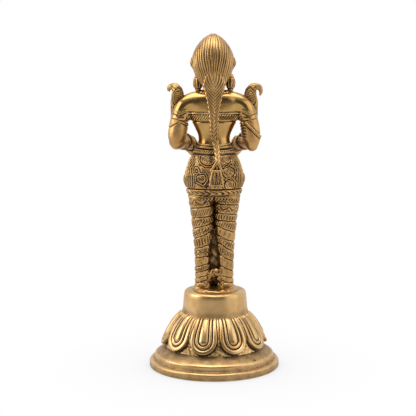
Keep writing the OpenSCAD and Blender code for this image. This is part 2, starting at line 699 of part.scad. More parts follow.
// Bird that looks outwards, with its origin at its seat
module bird_forms() {
  h = bird_h;
  w = bird_w / 2;
  // Tail, body, neck and head
  limb([
    [w * 0.68, 0, -bird_tail, w * 0.26, w * 0.4],
    [w * 0.47, 0, -bird_tail * 0.55, w * 0.42, w * 0.53],
    [w * 0.2, 0, -h * 0.18, w * 0.78, w * 0.78],
    [-w * 0.26, 0, h * 0.17, w, w * 0.92],
    [-w * 0.13, 0, h * 0.45, w * 0.88, w * 0.8],
    [w * 0.26, 0, h * 0.63, w * 0.68, w * 0.66],
    [w * 0.66, 0, h * 0.655, w * 0.42, w * 0.4]
  ], even(10), 10);
  // Hooked beak
  limb([
    [w * 0.63, 0, h * 0.66, w * 0.54, w * 0.5],
    [w * 1.18, 0, h * 0.6, w * 0.45, w * 0.42],
    [w * 1.4, 0, h * 0.42, w * 0.32, w * 0.31],
    [w * 1.26, 0, h * 0.26, w * 0.16, w * 0.18]
  ], even(5), 8);
  for (hand = [-1, 1]) {
    // Wing in two rows of feathers
    for (row = [[h * 0.22, 0.9], [-h * 0.1, 0.72]])
      translate([-w * 0.16, hand * w * 0.72, row[0]]) rotate([0, -14, 0])
        scale([w * 0.7 * row[1], w * 0.36, h * 0.3]) sphere(1, $fn = 8);
    ellipsoid([w * 0.53, hand * w * 0.54, h * 0.7], w * [0.16, 0.14, 0.16], 8);
  }
}

// Bird on the left shoulder, cut to the arm that it sits on
module bird_on_arm(turn) {
  difference() {
    cast() difference() {
      translate(bird_seat) rotate([0, 0, -turn]) bird_forms();
      upper_arm(braze_gap);
    }
    bird_pin(pin_clear);
  }
}

module left_bird() {
  color(brass) bird_on_arm(left_bird_turn);
}

module right_bird() {
  color(brass) mirror([1, 0, 0]) bird_on_arm(right_bird_turn);
}

// Pins and fasteners

// Dowel along the arm, half in each casting
module dowel(grow = 0) {
  axis = cross([0, 0, 1], joint_way);
  translate(joint_p) rotate(acos(joint_way.z), axis)
    cylinder(h = dowel_l + 2 * grow, r = dowel_d / 2 + grow, center = true);
}

module elbow_dowels() {
  color(steel) both_sides() dowel();
}

// Pin from the shoulder into the bird
module bird_pin(grow = 0) {
  translate(bird_seat + bird_w * [-0.18, 0.05, -0.34]) rotate([0, 90, 0])
    cylinder(h = bird_pin_l + 2 * grow, r = bird_pin_d / 2 + grow, center = true);
}

module bird_pins() {
  color(steel) both_sides() bird_pin();
}

module figure_stud() {
  color(steel) translate([0, 0, stud_base_z]) cylinder(h = stud_l, d = stud_d);
}

module stud_washer() {
  color(steel) translate([0, 0, pedestal_h - drum_top_t - washer_t]) difference() {
    cylinder(h = washer_t, d = washer_d);
    translate([0, 0, -1]) cylinder(h = washer_t + 2, d = stud_d + 4 * pin_clear);
  }
}

module stud_nut() {
  color(steel) translate([0, 0, pedestal_h - drum_top_t - washer_t - nut_h]) difference() {
    cylinder(h = nut_h, d = nut_d, $fn = 6);
    translate([0, 0, -1]) cylinder(h = nut_h + 2, d = stud_d + 2 * pin_clear);
  }
}

pedestal();
figure();
left_forearm();
right_forearm();
lamp_bowl();
left_bird();
right_bird();
elbow_dowels();
bird_pins();
figure_stud();
stud_washer();
stud_nut();
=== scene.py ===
"""Cast brass figure lamp on a lotus pedestal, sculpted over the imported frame."""

import math

import bmesh
import bpy
import numpy as np
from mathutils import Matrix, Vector


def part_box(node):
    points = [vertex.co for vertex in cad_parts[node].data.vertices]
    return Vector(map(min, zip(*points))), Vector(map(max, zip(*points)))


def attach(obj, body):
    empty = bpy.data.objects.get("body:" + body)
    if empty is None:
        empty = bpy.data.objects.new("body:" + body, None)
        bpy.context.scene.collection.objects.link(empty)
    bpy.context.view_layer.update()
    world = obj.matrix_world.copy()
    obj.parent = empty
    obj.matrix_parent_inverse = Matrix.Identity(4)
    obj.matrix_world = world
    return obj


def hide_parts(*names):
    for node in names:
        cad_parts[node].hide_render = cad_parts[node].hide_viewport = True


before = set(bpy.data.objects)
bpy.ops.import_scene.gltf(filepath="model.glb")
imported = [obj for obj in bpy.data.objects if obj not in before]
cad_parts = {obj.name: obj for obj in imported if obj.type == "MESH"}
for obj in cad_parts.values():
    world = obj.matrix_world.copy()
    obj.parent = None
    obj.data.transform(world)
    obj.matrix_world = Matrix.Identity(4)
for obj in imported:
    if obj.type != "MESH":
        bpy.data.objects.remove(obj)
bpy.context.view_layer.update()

# Forms are drawn in millimetres and become metres when a piece is finished
MM = 0.001
TURN = 2 * math.pi


def span(cad_node):
    low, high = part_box(cad_node)
    return np.array(low) / MM, np.array(high) / MM


# Sizes taken from the frame
flange_r = span("pedestal")[1][0] - 0.03
pedestal_top = span("pedestal")[1][2]
crown_z = span("figure")[1][2]
bowl_low, bowl_high = span("lamp_bowl")

# Top of the plate under the feet, and lower edge of the hip cloth
ANKLE_Z = pedestal_top + 2.2
HEM_Z = 104.5

# The head leans a little to its left
HEAD_X = 0.7


# Number helpers


def ramp(x, a, b):
    """Smooth step from 0 at a to 1 at b."""
    t = np.clip((x - a) / (b - a), 0, 1)
    return t * t * (3 - 2 * t)


def within(x, low, full, high, soft):
    """1 between two places: rises from low to full, and falls to 0 at high over a soft edge."""
    return ramp(x, low, full) * ramp(high - x, 0, soft)


def line(distance, width):
    """Soft line: 1 on it and next to nothing a width away."""
    return np.exp(-((distance / width) ** 2) * 2)


def lines(x, *cuts):
    """Several soft lines, each with its place, width and height."""
    return sum(height * line(x - place, width) for place, width, height in cuts)


def wave(x, pitch=1):
    """Rounded ridges, one to each pitch."""
    return np.cos(TURN * x / pitch)


def dome(x):
    """Round hump over -1 to 1."""
    return np.sqrt(np.clip(1 - x * x, 0, 1))


def flat(x):
    """Flat-topped ridge over -1 to 1."""
    return 1 - np.clip(np.abs(x), 0, 1) ** 4


def rough(points, size):
    """Uneven skin of a casting, from -1 to 1, in lumps of about a size in millimetres."""
    x, y, z = points.T * (TURN / size)
    waves = np.sin(x + 1.7 * np.sin(0.6 * y + 0.4 * z))
    waves = waves + np.sin(0.9 * y + 1.5 * np.sin(0.7 * z - 0.5 * x))
    return (waves + np.sin(0.8 * z + 1.6 * np.sin(0.5 * x + 0.8 * y))) / 3


def mottled(level, swing, size):
    """Soot that lies all over a piece, uneven in lumps of about a size in millimetres."""
    return lambda points: level + swing * rough(points, size)


def through(at, stations):
    """Values on smooth curves through stations, whose first column is the place along."""
    rows = np.array(stations, float)
    x, y = rows[:, 0], rows[:, 1:]
    slope = np.gradient(y, x, axis=0)
    i = np.clip(np.searchsorted(x, at, side="right") - 1, 0, len(x) - 2)
    h = (x[i + 1] - x[i])[:, None]
    t = np.clip((at - x[i])[:, None] / h, 0, 1)
    start = y[i] * (1 + 2 * t) * (1 - t) ** 2 + slope[i] * h * t * (1 - t) ** 2
    end = y[i + 1] * t * t * (3 - 2 * t) + slope[i + 1] * h * t * t * (t - 1)
    return start + end


def unit(v):
    return v / np.linalg.norm(v, axis=-1, keepdims=True)


# Forms


def sheet(rows, columns, place):
    """Closed skin: a grid laid by place(u, v), with u round the form and v along it."""
    bm = bmesh.new()
    bmesh.ops.create_grid(bm, x_segments=columns, y_segments=rows, size=0.5)
    grid = np.array([v.co for v in bm.verts]) + 0.5
    for vert, point in zip(bm.verts, place(grid[:, 0], grid[:, 1])):
        vert.co = point
    bmesh.ops.remove_doubles(bm, verts=bm.verts, dist=0.0005)
    bmesh.ops.holes_fill(bm, edges=[e for e in bm.edges if e.is_boundary], sides=0)
    bmesh.ops.recalc_face_normals(bm, faces=bm.faces)
    return bm


def upright(stations, rows, columns):
    """Form of level ovals through stations [z, x, y, half width, half depth]."""
    low, high = stations[0][0], stations[-1][0]

    def place(u, v):
        z = low + (high - low) * v
        x, y, w, d = through(z, stations).T
        a = TURN * u
        return np.column_stack([x + w * np.cos(a), y + d * np.sin(a), z])

    return sheet(rows, columns, place)


def limb(stations, rows, columns, ref=(0, 1, 0), cap=0.08):
    """Limb with round ends along stations [x, y, z, half width, half depth]."""
    path = [[i, *s] for i, s in enumerate(stations)]
    last = len(path) - 1
    step = 0.05

    def place(u, v):
        t = np.clip((v - cap) / (1 - 2 * cap), 0, 1) * last
        here = through(t, path)
        ahead = through(np.minimum(t + step, last), path)
        behind = through(np.maximum(t - step, 0), path)
        way = unit((ahead - behind)[:, :3])
        side = unit(np.cross(np.array(ref, float), way))
        other = np.cross(way, side)
        end = np.clip(np.maximum((cap - v) / cap, (v - 1 + cap) / cap), 0, 1) * math.pi / 2
        w, d = here[:, 3] * np.cos(end), here[:, 4] * np.cos(end)
        push = np.minimum(here[:, 3], here[:, 4]) * np.sin(end) * np.sign(v - 0.5)
        a = TURN * u
        ring = side * (w * np.cos(a))[:, None] + other * (d * np.sin(a))[:, None]
        return here[:, :3] + way * push[:, None] + ring

    return sheet(rows, columns, place)


def egg(centre, half, rows, columns, below=None):
    """Egg-shaped form, with its own half height below the middle."""
    below = below or half[2]

    def place(u, v):
        a, b = TURN * u, math.pi * (v - 0.5)
        x = centre[0] + half[0] * np.cos(b) * np.cos(a)
        y = centre[1] + half[1] * np.cos(b) * np.sin(a)
        return np.column_stack([x, y, centre[2] + np.where(b < 0, below, half[2]) * np.sin(b)])

    return sheet(rows, columns, place)


def lathe(profile, columns, centre=(0, 0), closed=False):
    """Turned form from a profile of [radius, height]; a closed profile makes a ring."""
    points = np.array(profile + profile[:1] if closed else profile, float)

    def place(u, v):
        r, z = points[np.rint(v * (len(points) - 1)).astype(int)].T
        a = TURN * u
        return np.column_stack([centre[0] + r * np.cos(a), centre[1] + r * np.sin(a), z])

    return sheet(len(points) - 1, columns, place)


def arc(r, z, radius, start, end, steps):
    """Points [radius, height] on an arc in a profile, angles in degrees."""
    angles = np.radians(np.linspace(start, end, steps + 1))
    return [[r + radius * math.cos(a), z + radius * math.sin(a)] for a in angles]


def straight(start, end, steps):
    return [list(p) for p in np.linspace(start, end, steps + 1)]


def mirrored(bm):
    """The same form on the other side of the body."""
    twin = bm.copy()
    bmesh.ops.scale(twin, vec=(-1, 1, 1), verts=twin.verts)
    bmesh.ops.reverse_faces(twin, faces=twin.faces)
    return twin


def sawn(bm, place, way):
    """Takes off what lies beyond a place, on the side that way points to, and closes the cut."""
    everything = [*bm.verts, *bm.edges, *bm.faces]
    cut = bmesh.ops.bisect_plane(
        bm, geom=everything, plane_co=place, plane_no=way, clear_outer=True
    )
    rim = [e for e in cut["geom_cut"] if isinstance(e, bmesh.types.BMEdge)]
    bmesh.ops.holes_fill(bm, edges=rim, sides=0)


def placed(name, data):
    """New object in the scene."""
    made = bpy.data.objects.new(name, data)
    bpy.context.scene.collection.objects.link(made)
    return made


def merged(forms, voxel, passes):
    """One skin over several closed forms, with the joins rounded off in smoothing passes."""
    mesh = bpy.data.meshes.new("forms")
    joined = bmesh.new()
    for form in forms:
        form.to_mesh(mesh)
        form.free()
        joined.from_mesh(mesh)
    joined.to_mesh(mesh)
    joined.free()
    source = placed("forms", mesh)
    skin = source.modifiers.new("skin", "REMESH")
    skin.mode = "VOXEL"
    skin.voxel_size = voxel
    bm = bmesh.new()
    bm.from_object(source, bpy.context.evaluated_depsgraph_get())
    bpy.data.objects.remove(source)
    bpy.data.meshes.remove(mesh)
    for _ in range(passes):
        bmesh.ops.smooth_vert(
            bm, verts=bm.verts, factor=0.5, use_axis_x=True, use_axis_y=True, use_axis_z=True
        )
    return bm


# Finishing: relief is pushed along the normals, and hollows are marked for the patina, in one mark
# with the painted shade and painted light that some pieces add

# How strongly a narrow hollow, a wide one of the relief and a wide one of the form gather dirt
NARROW, WIDE_RELIEF, WIDE_FORM = 5.5, 1.5, 1.3


def numbers(items, name, width, kind=float):
    values = np.empty(len(items) * width, kind)
    items.foreach_get(name, values)
    return values.reshape(-1, width)


def spread(field, a, b, passes):
    """Field averaged with its neighbours along the edges a to b."""
    n = len(field)
    count = (np.bincount(a, minlength=n) + np.bincount(b, minlength=n))[:, None]
    for _ in range(passes):
        sums = [np.bincount(a, c[b], n) + np.bincount(b, c[a], n) for c in field.T]
        field = (field + np.column_stack(sums) / count) / 2
    return field


def hollows(mesh, height, form, fine, broad):
    """How far each point lies in a hollow of the relief and, by a share, of the form itself."""
    points = numbers(mesh.vertices, "co", 3)
    normals = numbers(mesh.vertices, "normal", 3)
    a, b = numbers(mesh.edges, "vertices", 2, int).T
    field = np.column_stack([height, points])
    near = spread(field, a, b, fine)
    far = spread(near, a, b, broad)
    close, wide = near - field, far - field
    chased = NARROW * close[:, 0] + WIDE_RELIEF * wide[:, 0]
    cast = NARROW * (close[:, 1:] * normals).sum(1) + WIDE_FORM * (wide[:, 1:] * normals).sum(1)
    return chased * (1 - form) + cast * form


def finish(name, bm, slot, material, nodes, relief=None, form=0.6, soot=None, fine=8, broad=60):
    """Makes a piece of the lamp from a form and hangs it in the frame.

    Relief is pushed out along the normals, form says how much the piece's own hollows darken beside
    those of the relief, and the tone function adds dirt by place on some pieces and painted shade
    and painted light on others. Fine and broad are the smoothing passes that find narrow and wide
    hollows."""
    mesh = bpy.data.meshes.new(name)
    bm.to_mesh(mesh)
    bm.free()
    points = numbers(mesh.vertices, "co", 3)
    normals = numbers(mesh.vertices, "normal", 3)
    height = relief(points, normals) if relief else np.zeros(len(points))
    points = points + normals * height[:, None]
    mesh.vertices.foreach_set("co", points.ravel())
    mesh.update()
    depth = hollows(mesh, height, form, fine, broad)
    # Dirt, painted shade and painted light, by place
    if soot:
        depth = depth + soot(points)
    patina_and_shade = mesh.attributes.new("patina_and_shade", "FLOAT", "POINT")
    patina_and_shade.data.foreach_set("value", np.clip(depth, -1, 1))
    mesh.vertices.foreach_set("co", (points * MM).ravel())
    mesh.update()
    mesh.shade_smooth()
    mesh.materials.append(material)
    piece = placed(name, mesh)
    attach(piece, "root")
    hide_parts(*nodes)


# Materials


def colour(code):
    """sRGB hex to linear."""
    parts = [int(code[i : i + 2], 16) / 255 for i in (1, 3, 5)]
    return (*[c / 12.92 if c <= 0.04045 else ((c + 0.055) / 1.055) ** 2.4 for c in parts], 1)


def blank(name):
    """New material with its node tree and its shader."""
    made = bpy.data.materials.new(name)
    made.use_nodes = True
    tree = made.node_tree
    return made, tree, tree.nodes["Principled BSDF"]


def plug(tree, node, sockets):
    """Sets or links sockets of a node, listed in their order or by their names."""
    for key, value in sockets.items() if isinstance(sockets, dict) else enumerate(sockets):
        if isinstance(value, bpy.types.NodeSocket):
            tree.links.new(value, node.inputs[key])
        else:
            node.inputs[key].default_value = value


def add(tree, kind, sockets=(), output=0, **settings):
    """Adds a shader node with its settings and sockets, and gives one of its outputs."""
    made = tree.nodes.new("ShaderNode" + kind)
    for key, value in settings.items():
        setattr(made, key, value)
    plug(tree, made, sockets)
    return made.outputs[output]


def cast_brass(name, bright, deep, patina_and_shade, polish, matte, grain, turned=False):
    """Cast brass, polished on what stands out and left dark in what lies deep.

    The eye sees warm gold with soft clouds of tone, a mirror on the ridges, brown-black lines in
    the grooves and a dark pit here and there. Grain is the size of the casting's skin in
    millimetres."""
    cloud_size, pit_spacing, tool_line = 9 * MM, 7 * MM, 0.5 * MM
    made, tree, shader = blank(name)
    where = add(tree, "TexCoord", output="Object")
    # Patina in the hollows, and on some pieces painted shade and painted light, come in this one
    # mark
    depth = add(tree, "Attribute", output="Fac", attribute_name="patina_and_shade")
    clouds = {"Vector": where, "Scale": 1 / cloud_size, "Detail": 4, "Roughness": 0.6}
    cloud = add(tree, "TexNoise", clouds)
    skin = add(tree, "TexNoise", {"Vector": where, "Scale": 1 / (grain * MM), "Detail": 3})
    # A map range takes a value, the range it comes from and the range it goes to
    tone = add(tree, "MapRange", [cloud, 0.35, 0.7])
    body = add(tree, "Mix", {0: tone, 6: colour(bright), 7: colour(deep)}, 2, data_type="RGBA")
    bubbles = {"Vector": where, "Scale": 1 / pit_spacing, "Randomness": 1.0}
    bubble = add(tree, "TexVoronoi", bubbles, "Distance")
    pit = add(tree, "MapRange", [bubble, 0.06, 0.11, 0.5, 0.0])
    pitted = add(tree, "Math", [skin, 0.3, pit], operation="MULTIPLY_ADD")
    ragged = add(tree, "Math", [pitted, depth], operation="ADD")
    dark = add(tree, "MapRange", [ragged, 0.22, 0.85])
    tarnished_and_shaded = add(tree, "Mix", {0: dark, 6: body, 7: colour(patina_and_shade)}, 2, data_type="RGBA")
    roughness = add(tree, "MapRange", [ragged, -0.1, 0.7, polish, matte])
    metal = add(tree, "MapRange", [dark, 0.0, 1.0, 1.0, 0.55])
    bump = add(tree, "Bump", {"Height": skin, "Strength": 0.25, "Distance": 0.08 * MM})
    if turned:
        # Tool lines of the lathe, drawn coarser than real ones so that they show
        level = add(tree, "Mapping", {"Vector": where, "Scale": (0.02, 0.02, 1)})
        ridges = add(tree, "TexNoise", {"Vector": level, "Scale": 1 / tool_line, "Detail": 2})
        tooled = {"Height": ridges, "Strength": 0.2, "Distance": 0.05 * MM, "Normal": bump}
        bump = add(tree, "Bump", tooled)
    plug(tree, shader, {"Base Color": tarnished_and_shaded, "Roughness": roughness})
    plug(tree, shader, {"Metallic": metal, "Normal": bump})
    return made


pedestal_brass = cast_brass("turned_brass", "#D2AE7A", "#BA935E", "#33240F", 0.28, 0.55, 1.1, True)
figure_brass = cast_brass("chased_brass", "#BE9864", "#A07946", "#24180B", 0.28, 0.6, 0.9)
trunk_brass = cast_brass("polished_brass", "#BD975E", "#A47F47", "#24180B", 0.1, 0.55, 0.9)
forearm_brass = cast_brass("as_cast_brass", "#CBA46B", "#A67B48", "#28190C", 0.38, 0.65, 0.7)
bowl_brass = cast_brass("spun_brass", "#C4A068", "#A98449", "#33240F", 0.22, 0.5, 1.0)
bird_brass = cast_brass("filed_brass", "#C09A63", "#9E7843", "#24180B", 0.4, 0.65, 0.8)
pin_brass = cast_brass("drawn_brass", "#BC9A60", "#A58250", "#3A2A16", 0.3, 0.5, 0.5)


def bolt_steel():
    """Zinc-plated steel: a cool grey with faint clouds and a satin shine."""
    cloud_size = 1.5 * MM
    made, tree, shader = blank("zinc_plated_steel")
    where = add(tree, "TexCoord", output="Object")
    cloud = add(tree, "TexNoise", {"Vector": where, "Scale": 1 / cloud_size, "Detail": 3})
    greys = {0: cloud, 6: colour("#C3C5C6"), 7: colour("#8F9294")}
    tone = add(tree, "Mix", greys, 2, data_type="RGBA")
    roughness = add(tree, "MapRange", [cloud, 0.0, 1.0, 0.28, 0.5])
    plug(tree, shader, {"Base Color": tone, "Roughness": roughness, "Metallic": 1.0})
    return made


fastener_steel = bolt_steel()


def cast_figure(name, bm, relief=None, **looks):
    """A part of the figure's own casting."""
    finish(name, bm, "figure_brass", figure_brass, ["figure"], relief, **looks)


# Pedestal

FLANGE_H = 4.6
RING_R = 36.7
FOOT_H = 8.8
DOME_R = 31.5
PETALS = 10
PETAL_TURN = math.radians(5.2)
PETAL_HALF = 8.4
PETAL_TIP = 4.6
# Where a petal's round end passes into its straight sides
PETAL_MIDDLE = PETAL_TIP + PETAL_HALF
# The drum stands a little off the foot's middle
DRUM_LEAN = 0.55


def petal_places(points):
    """Height up the dome, distance inside the nearest petal's edge, and distance to the gap."""
    x, y, z = points.T
    r = np.hypot(x, y)
    up = DOME_R * np.arctan2(z - FOOT_H, r)
    pitch = TURN / PETALS
    turn = (np.arctan2(y, x) - PETAL_TURN) / pitch
    across = r * pitch * (turn - np.rint(turn))
    half = PETAL_HALF * (1 - 0.3 * ramp(up, PETAL_MIDDLE, 29))
    inset = PETAL_HALF * (1 - np.hypot(across, np.minimum(up - PETAL_MIDDLE, 0)) / half)
    return up, inset, r * pitch / 2 - np.abs(across)


def petal_relief(points, normals):
    """Nested lotus petals: an outer lip, an inner lip and a tongue, with thin strips between."""
    up, inset, gap = petal_places(points)
    from_middle = np.linalg.norm(points - [0, 0, FOOT_H], axis=1)
    outside = ramp(from_middle, DOME_R - 0.6, DOME_R - 0.3) * ramp(35.0 - points[:, 2], 0, 3.5)
    petal = ramp(inset, 0, 0.6)
    outer = flat((inset - 1.4) / 1.5)
    inner = flat((inset - 4.35) / 0.85)
    tongue = dome(np.clip((8.6 - inset) / 2.8, 0, 1))
    lips = 0.85 * np.maximum(outer, np.maximum(0.85 * inner, 1.35 * tongue))
    swell = 0.9 * ramp(PETAL_MIDDLE + 2 - up, 0, 12)
    strip = flat(gap / 0.9) * ramp(-inset, -0.3, 0.3) * ramp(up, 10, 15)
    bare = ramp(16 - up, 0, 8) * (1 - petal)
    cast_skin = 1.3 + 0.22 * rough(points, 3.4)
    return outside * (petal * (0.3 + swell + lips) - cast_skin * bare + 0.8 * strip)


def petal_soot(points):
    up, inset, _ = petal_places(points)
    recess = ramp(-inset, -0.4, 0.3) * within(up, 2.2, 4.0, 17, 6)
    # Dark specks in the recess under the petals, with painted light over the recess as a whole;
    # below, painted light on the lower parts of the petals
    specks_and_light = recess * (0.3 * ramp(rough(points, 3.1), 0.1, 0.7) - 0.3)
    lit_lower_petals = 0.15 * ramp(17 - up, 0, 6) * ramp(inset, 0, 0.6)
    return specks_and_light + 0.25 * ramp(up, 18, 25) - lit_lower_petals


def make_pedestal():
    # Radii of the flange's lower and upper edge, the ring's bead and the drum's top edge
    lower, edge, bead, drum_edge = 0.9, 1.38, 1.5, 2.2
    # Radii inside the dome, the drum, the spigot's bore and the stud's hole
    shell, drum_in, bore, hole = DOME_R - 3, 16.4, 5.05, 3
    # Height of the underside of the drum's top, and radius of the body behind the petals
    under, hidden = 42.5, DOME_R - 2.4
    neck = math.degrees(math.acos(drum_in / shell))
    profile = straight([shell, 0], [flange_r - lower, 0], 3)
    profile += arc(flange_r - lower, lower, lower, -90, 0, 6)[1:]
    profile += arc(flange_r - edge, FLANGE_H - edge, edge, 0, 90, 8)
    profile += [[37.4, 4.75], [36.95, 4.95], [36.75, 5.5], [RING_R, 6.4]]
    profile += arc(RING_R - bead, 7.3, bead, 0, 56, 6)
    # The ring's shoulder slopes up to the dome, and the body goes on under the petals
    profile += straight([35.5, 9.0], [29.3, 13.0], 10)
    profile += arc(0, FOOT_H, hidden, 10, 45, 6)
    profile += [[20.75, 32.4], [20.55, 33.2], [20.3, 34.2], [20.05, 35.4], [19.85, 36.8]]
    profile += [[19.7, 38.4], *straight([19.6, 39.6], [19.2, 44.4], 6)]
    profile += arc(16.8, pedestal_top - drum_edge, drum_edge, 8, 90, 8)
    profile += straight([15, pedestal_top], [bore, pedestal_top], 4)
    profile += [[bore, 44], [bore, 43], [hole, 43], [hole, under], [9, under], [15.6, under]]
    profile += [[drum_in, 41.7], [drum_in, 36], *arc(0, FOOT_H, shell, neck, 0, 16)]
    profile += [[shell, 6], [shell, 3]]

    # Darker bands by height on the flange, the ring's side, the drum's top and the drum's foot,
    # with uneven tone all over; the darkening on the ring's shoulder is painted shade that dims its
    # mirror image of the top light
    def darker_bands(points):
        z = points[:, 2]
        flange = 0.42 * ramp(4.3 - z, 0, 0.6) + 0.2 * ramp(3.0 - z, 0, 1.5)
        # The ring's side, and painted shade on the ring's shoulder
        ring = 0.12 * within(z, 4.3, 4.9, 8.2, 1) + 0.36 * within(z, 8.4, 9.0, 17, 3)
        drum = 0.34 * ramp(z, pedestal_top - 1.6, pedestal_top - 0.3)
        return flange + ring + drum + 0.26 * within(z, 30, 32, 37.5, 3) + 0.08 * rough(points, 7)

    body = lathe(profile, 320, closed=True)
    for point in body.verts:
        point.co.x -= DRUM_LEAN * float(ramp(point.co.z, 30, 34))
    skin = arc(0, FOOT_H, DOME_R, 1, 52, 118) + arc(0, FOOT_H, DOME_R - 2.2, 51, 2, 9)
    lotus = lathe(skin, 744, closed=True)
    looks = "pedestal_brass", pedestal_brass, ["pedestal"]
    finish("pedestal_body", body, *looks, form=0.12, soot=darker_bands)
    finish("lotus_dome", lotus, *looks, petal_relief, 0.1, petal_soot)


make_pedestal()

# Legs

# Cloth bands: lower edge at the outer side of the leg, rise to the inseam, and chased pattern
LEFT_BANDS = [
    (97.9, 2.4, "swag"),
    (92.0, 1.8, "hatch"),
    (85.5, 3.8, "curl"),
    (79.2, 5.0, "curl"),
    (73.4, 2.6, "bars"),
    (67.5, 1.6, "wave"),
    (62.0, 2.2, "plain"),
    (58.1, 2.6, "rings"),
    (54.7, 2.4, "plain"),
    (52.0, 2.4, "plain"),
]
RIGHT_BANDS = [
    (100.2, 1.5, "curl"),
    (94.4, 1.2, "wave"),
    (90.0, 1.2, "bars"),
    (83.2, 4.7, "leaf"),
    (77.1, 5.3, "plain"),
    (71.2, 6.3, "leaf"),
    (65.2, 5.0, "rings"),
    (59.5, 3.5, "plain"),
    (54.8, 2.0, "plain"),
    (52.0, 1.6, "plain"),
]

# [height, x, y, half width, half depth] of the left leg
LEG = [
    [48.2, 7.3, 0.5, 5.6, 6.2],
    [50.2, 7.2, 0.4, 4.9, 5.5],
    [52.6, 7.15, 0.3, 4.55, 5.1],
    [57.0, 7.15, 0.5, 4.4, 5.0],
    [64.5, 7.15, 0.7, 4.5, 5.4],
    [74.6, 6.9, 0.5, 5.1, 5.7],
    [84.5, 6.75, 0.4, 6.25, 6.6],
    [94.4, 7.1, 0.5, 6.8, 7.9],
    [100.0, 7.4, 0.6, 7.5, 8.8],
    [106.5, 7.4, 0.6, 8.0, 9.4],
]


def cloth_fill(kind, along, share):
    """Chased pattern in a band: along the band in millimetres, share across it from 0 to 1."""
    if kind == "hatch":
        return 0.9 * wave(along / 1.25 + 0.15 * share)
    if kind == "bars":
        return np.tanh(2 * wave(along, 1.9))
    if kind == "wave":
        return wave(share * 2.6 + 0.45 * np.sin(TURN * along / 6.4))
    if kind == "swag":
        return wave(share * 2.0 + 0.8 * np.abs(np.sin(math.pi * along / 8.5)))
    if kind == "curl":
        return wave(along / 2.0 + 0.5 * np.sin(TURN * share * 1.2))
    if kind == "leaf":
        return wave(along / 1.6 + 1.1 * share * share)
    if kind == "rings":
        pitch = 3.4
        near = (along / pitch - np.rint(along / pitch)) * pitch
        reach = np.hypot(near, (share - 0.5) * 4.5)
        return wave(reach, 1.1) * ramp(2.2 - reach, 0, 0.4)
    return 0.5 * wave(along / 3.1 + 0.3 * share)


def banded(bands, hand):
    def relief(points, normals):
        x, y, z = points.T
        cx, cy, w, d = through(z, LEG).T
        out = np.clip((hand * x - cx) / w, -1.1, 1.1)
        angle = np.arctan2((y - cy) / d, out)
        along = angle * (w + d) / 2 + 0.25 * rough(points, 2.6)
        wander = 0.3 * rough(points, 5.5) + 0.15 * rough(points, 2.2)
        height = 0.1 * rough(points, 3.2)
        high = np.full_like(z, HEM_Z + 1)
        for base, rise, kind in bands:
            low = base + rise * (1 - out) / 2 + wander
            share = (z - low) / (high - low)
            inside = within(share, 0, 0.1, 1, 0.1)
            fill = cloth_fill(kind, along, share) * ramp(share, 0.1, 0.28)
            fill *= ramp(1 - share, 0.1, 0.28)
            height += inside * (0.12 + 0.16 * share) + 0.23 * fill
            height -= 0.42 * line(z - low, 0.45)
            high = low
        return height * ramp(z, 49.5, 51.0)

    return relief


def make_legs():
    left = upright(LEG, 280, 176)
    right = mirrored(left)

    # Painted shade on the inner sides of the legs, where they face each other, in a band that
    # widens towards the ankles, with uneven tone all over
    def inseam_shade(points):
        x, y, z = points.T
        reach = 0.9 + 2.4 * ramp(96 - z, 0, 24)
        between = ramp(reach - np.abs(x) - 0.5 * rough(points, 4), 0, 2.2) * ramp(y, -4, 2)
        return 0.1 + 0.7 * between + 0.12 * rough(points, 6) + 0.08 * rough(points, 2.5)

    cast_figure("left_leg", left, banded(LEFT_BANDS, 1), soot=inseam_shade)
    cast_figure("right_leg", right, banded(RIGHT_BANDS, -1), soot=inseam_shade)


def pleats(points, normals):
    x, y, z = points.T
    fall = 0.28 * wave(x, 2.1) + lines(z, (53.5, 0.8, 0.3), (56.0, 0.8, 0.3))
    inside = 0.14 * rough(points, 5.0) * ramp(y, -5.0, -3.5)
    return fall * ramp(-y, 3.0, 5.0) * ramp(z, 50.0, 52.0) + inside


def make_cloth_fall():
    stations = [
        [49.2, 0, -5.2, 7.3, 2.8],
        [60.0, 0, -4.6, 5.5, 2.5],
        [82.0, 0, -5.0, 4.8, 2.8],
        [105.5, 0, -7.0, 4.6, 3.2],
    ]

    # Painted shade on the back of the front fall, where it lies deep between the legs, with uneven
    # tone all over
    def recess_shade(points):
        inside = ramp(points[:, 1], -6.5, -4.0)
        return (0.46 + 0.14 * rough(points, 4)) * inside + 0.1 * rough(points, 9)

    cast_figure("front_fall", upright(stations, 150, 120), pleats, soot=recess_shade)
    # Cloth that joins the ankles over a small opening
    strap = [
        [4.2, 2.0, 49.3, 2.0, 2.0],
        [3.9, 2.4, 52.4, 1.9, 1.9],
        [3.0, 2.7, 55.8, 2.1, 2.3],
        [1.1, 2.8, 57.8, 2.7, 2.6],
        [-1.3, 2.8, 58.2, 2.8, 2.6],
        [-3.3, 2.5, 57.4, 2.6, 2.4],
        [-3.9, 2.3, 53.4, 2.0, 2.0],
        [-4.0, 1.9, 49.3, 2.0, 2.0],
    ]

    def creased(points, normals):
        return 0.45 * rough(points, 3.0)

    cast_figure("ankle_web", limb(strap, 120, 52), creased, soot=mottled(0.2, 0.3, 3.5))


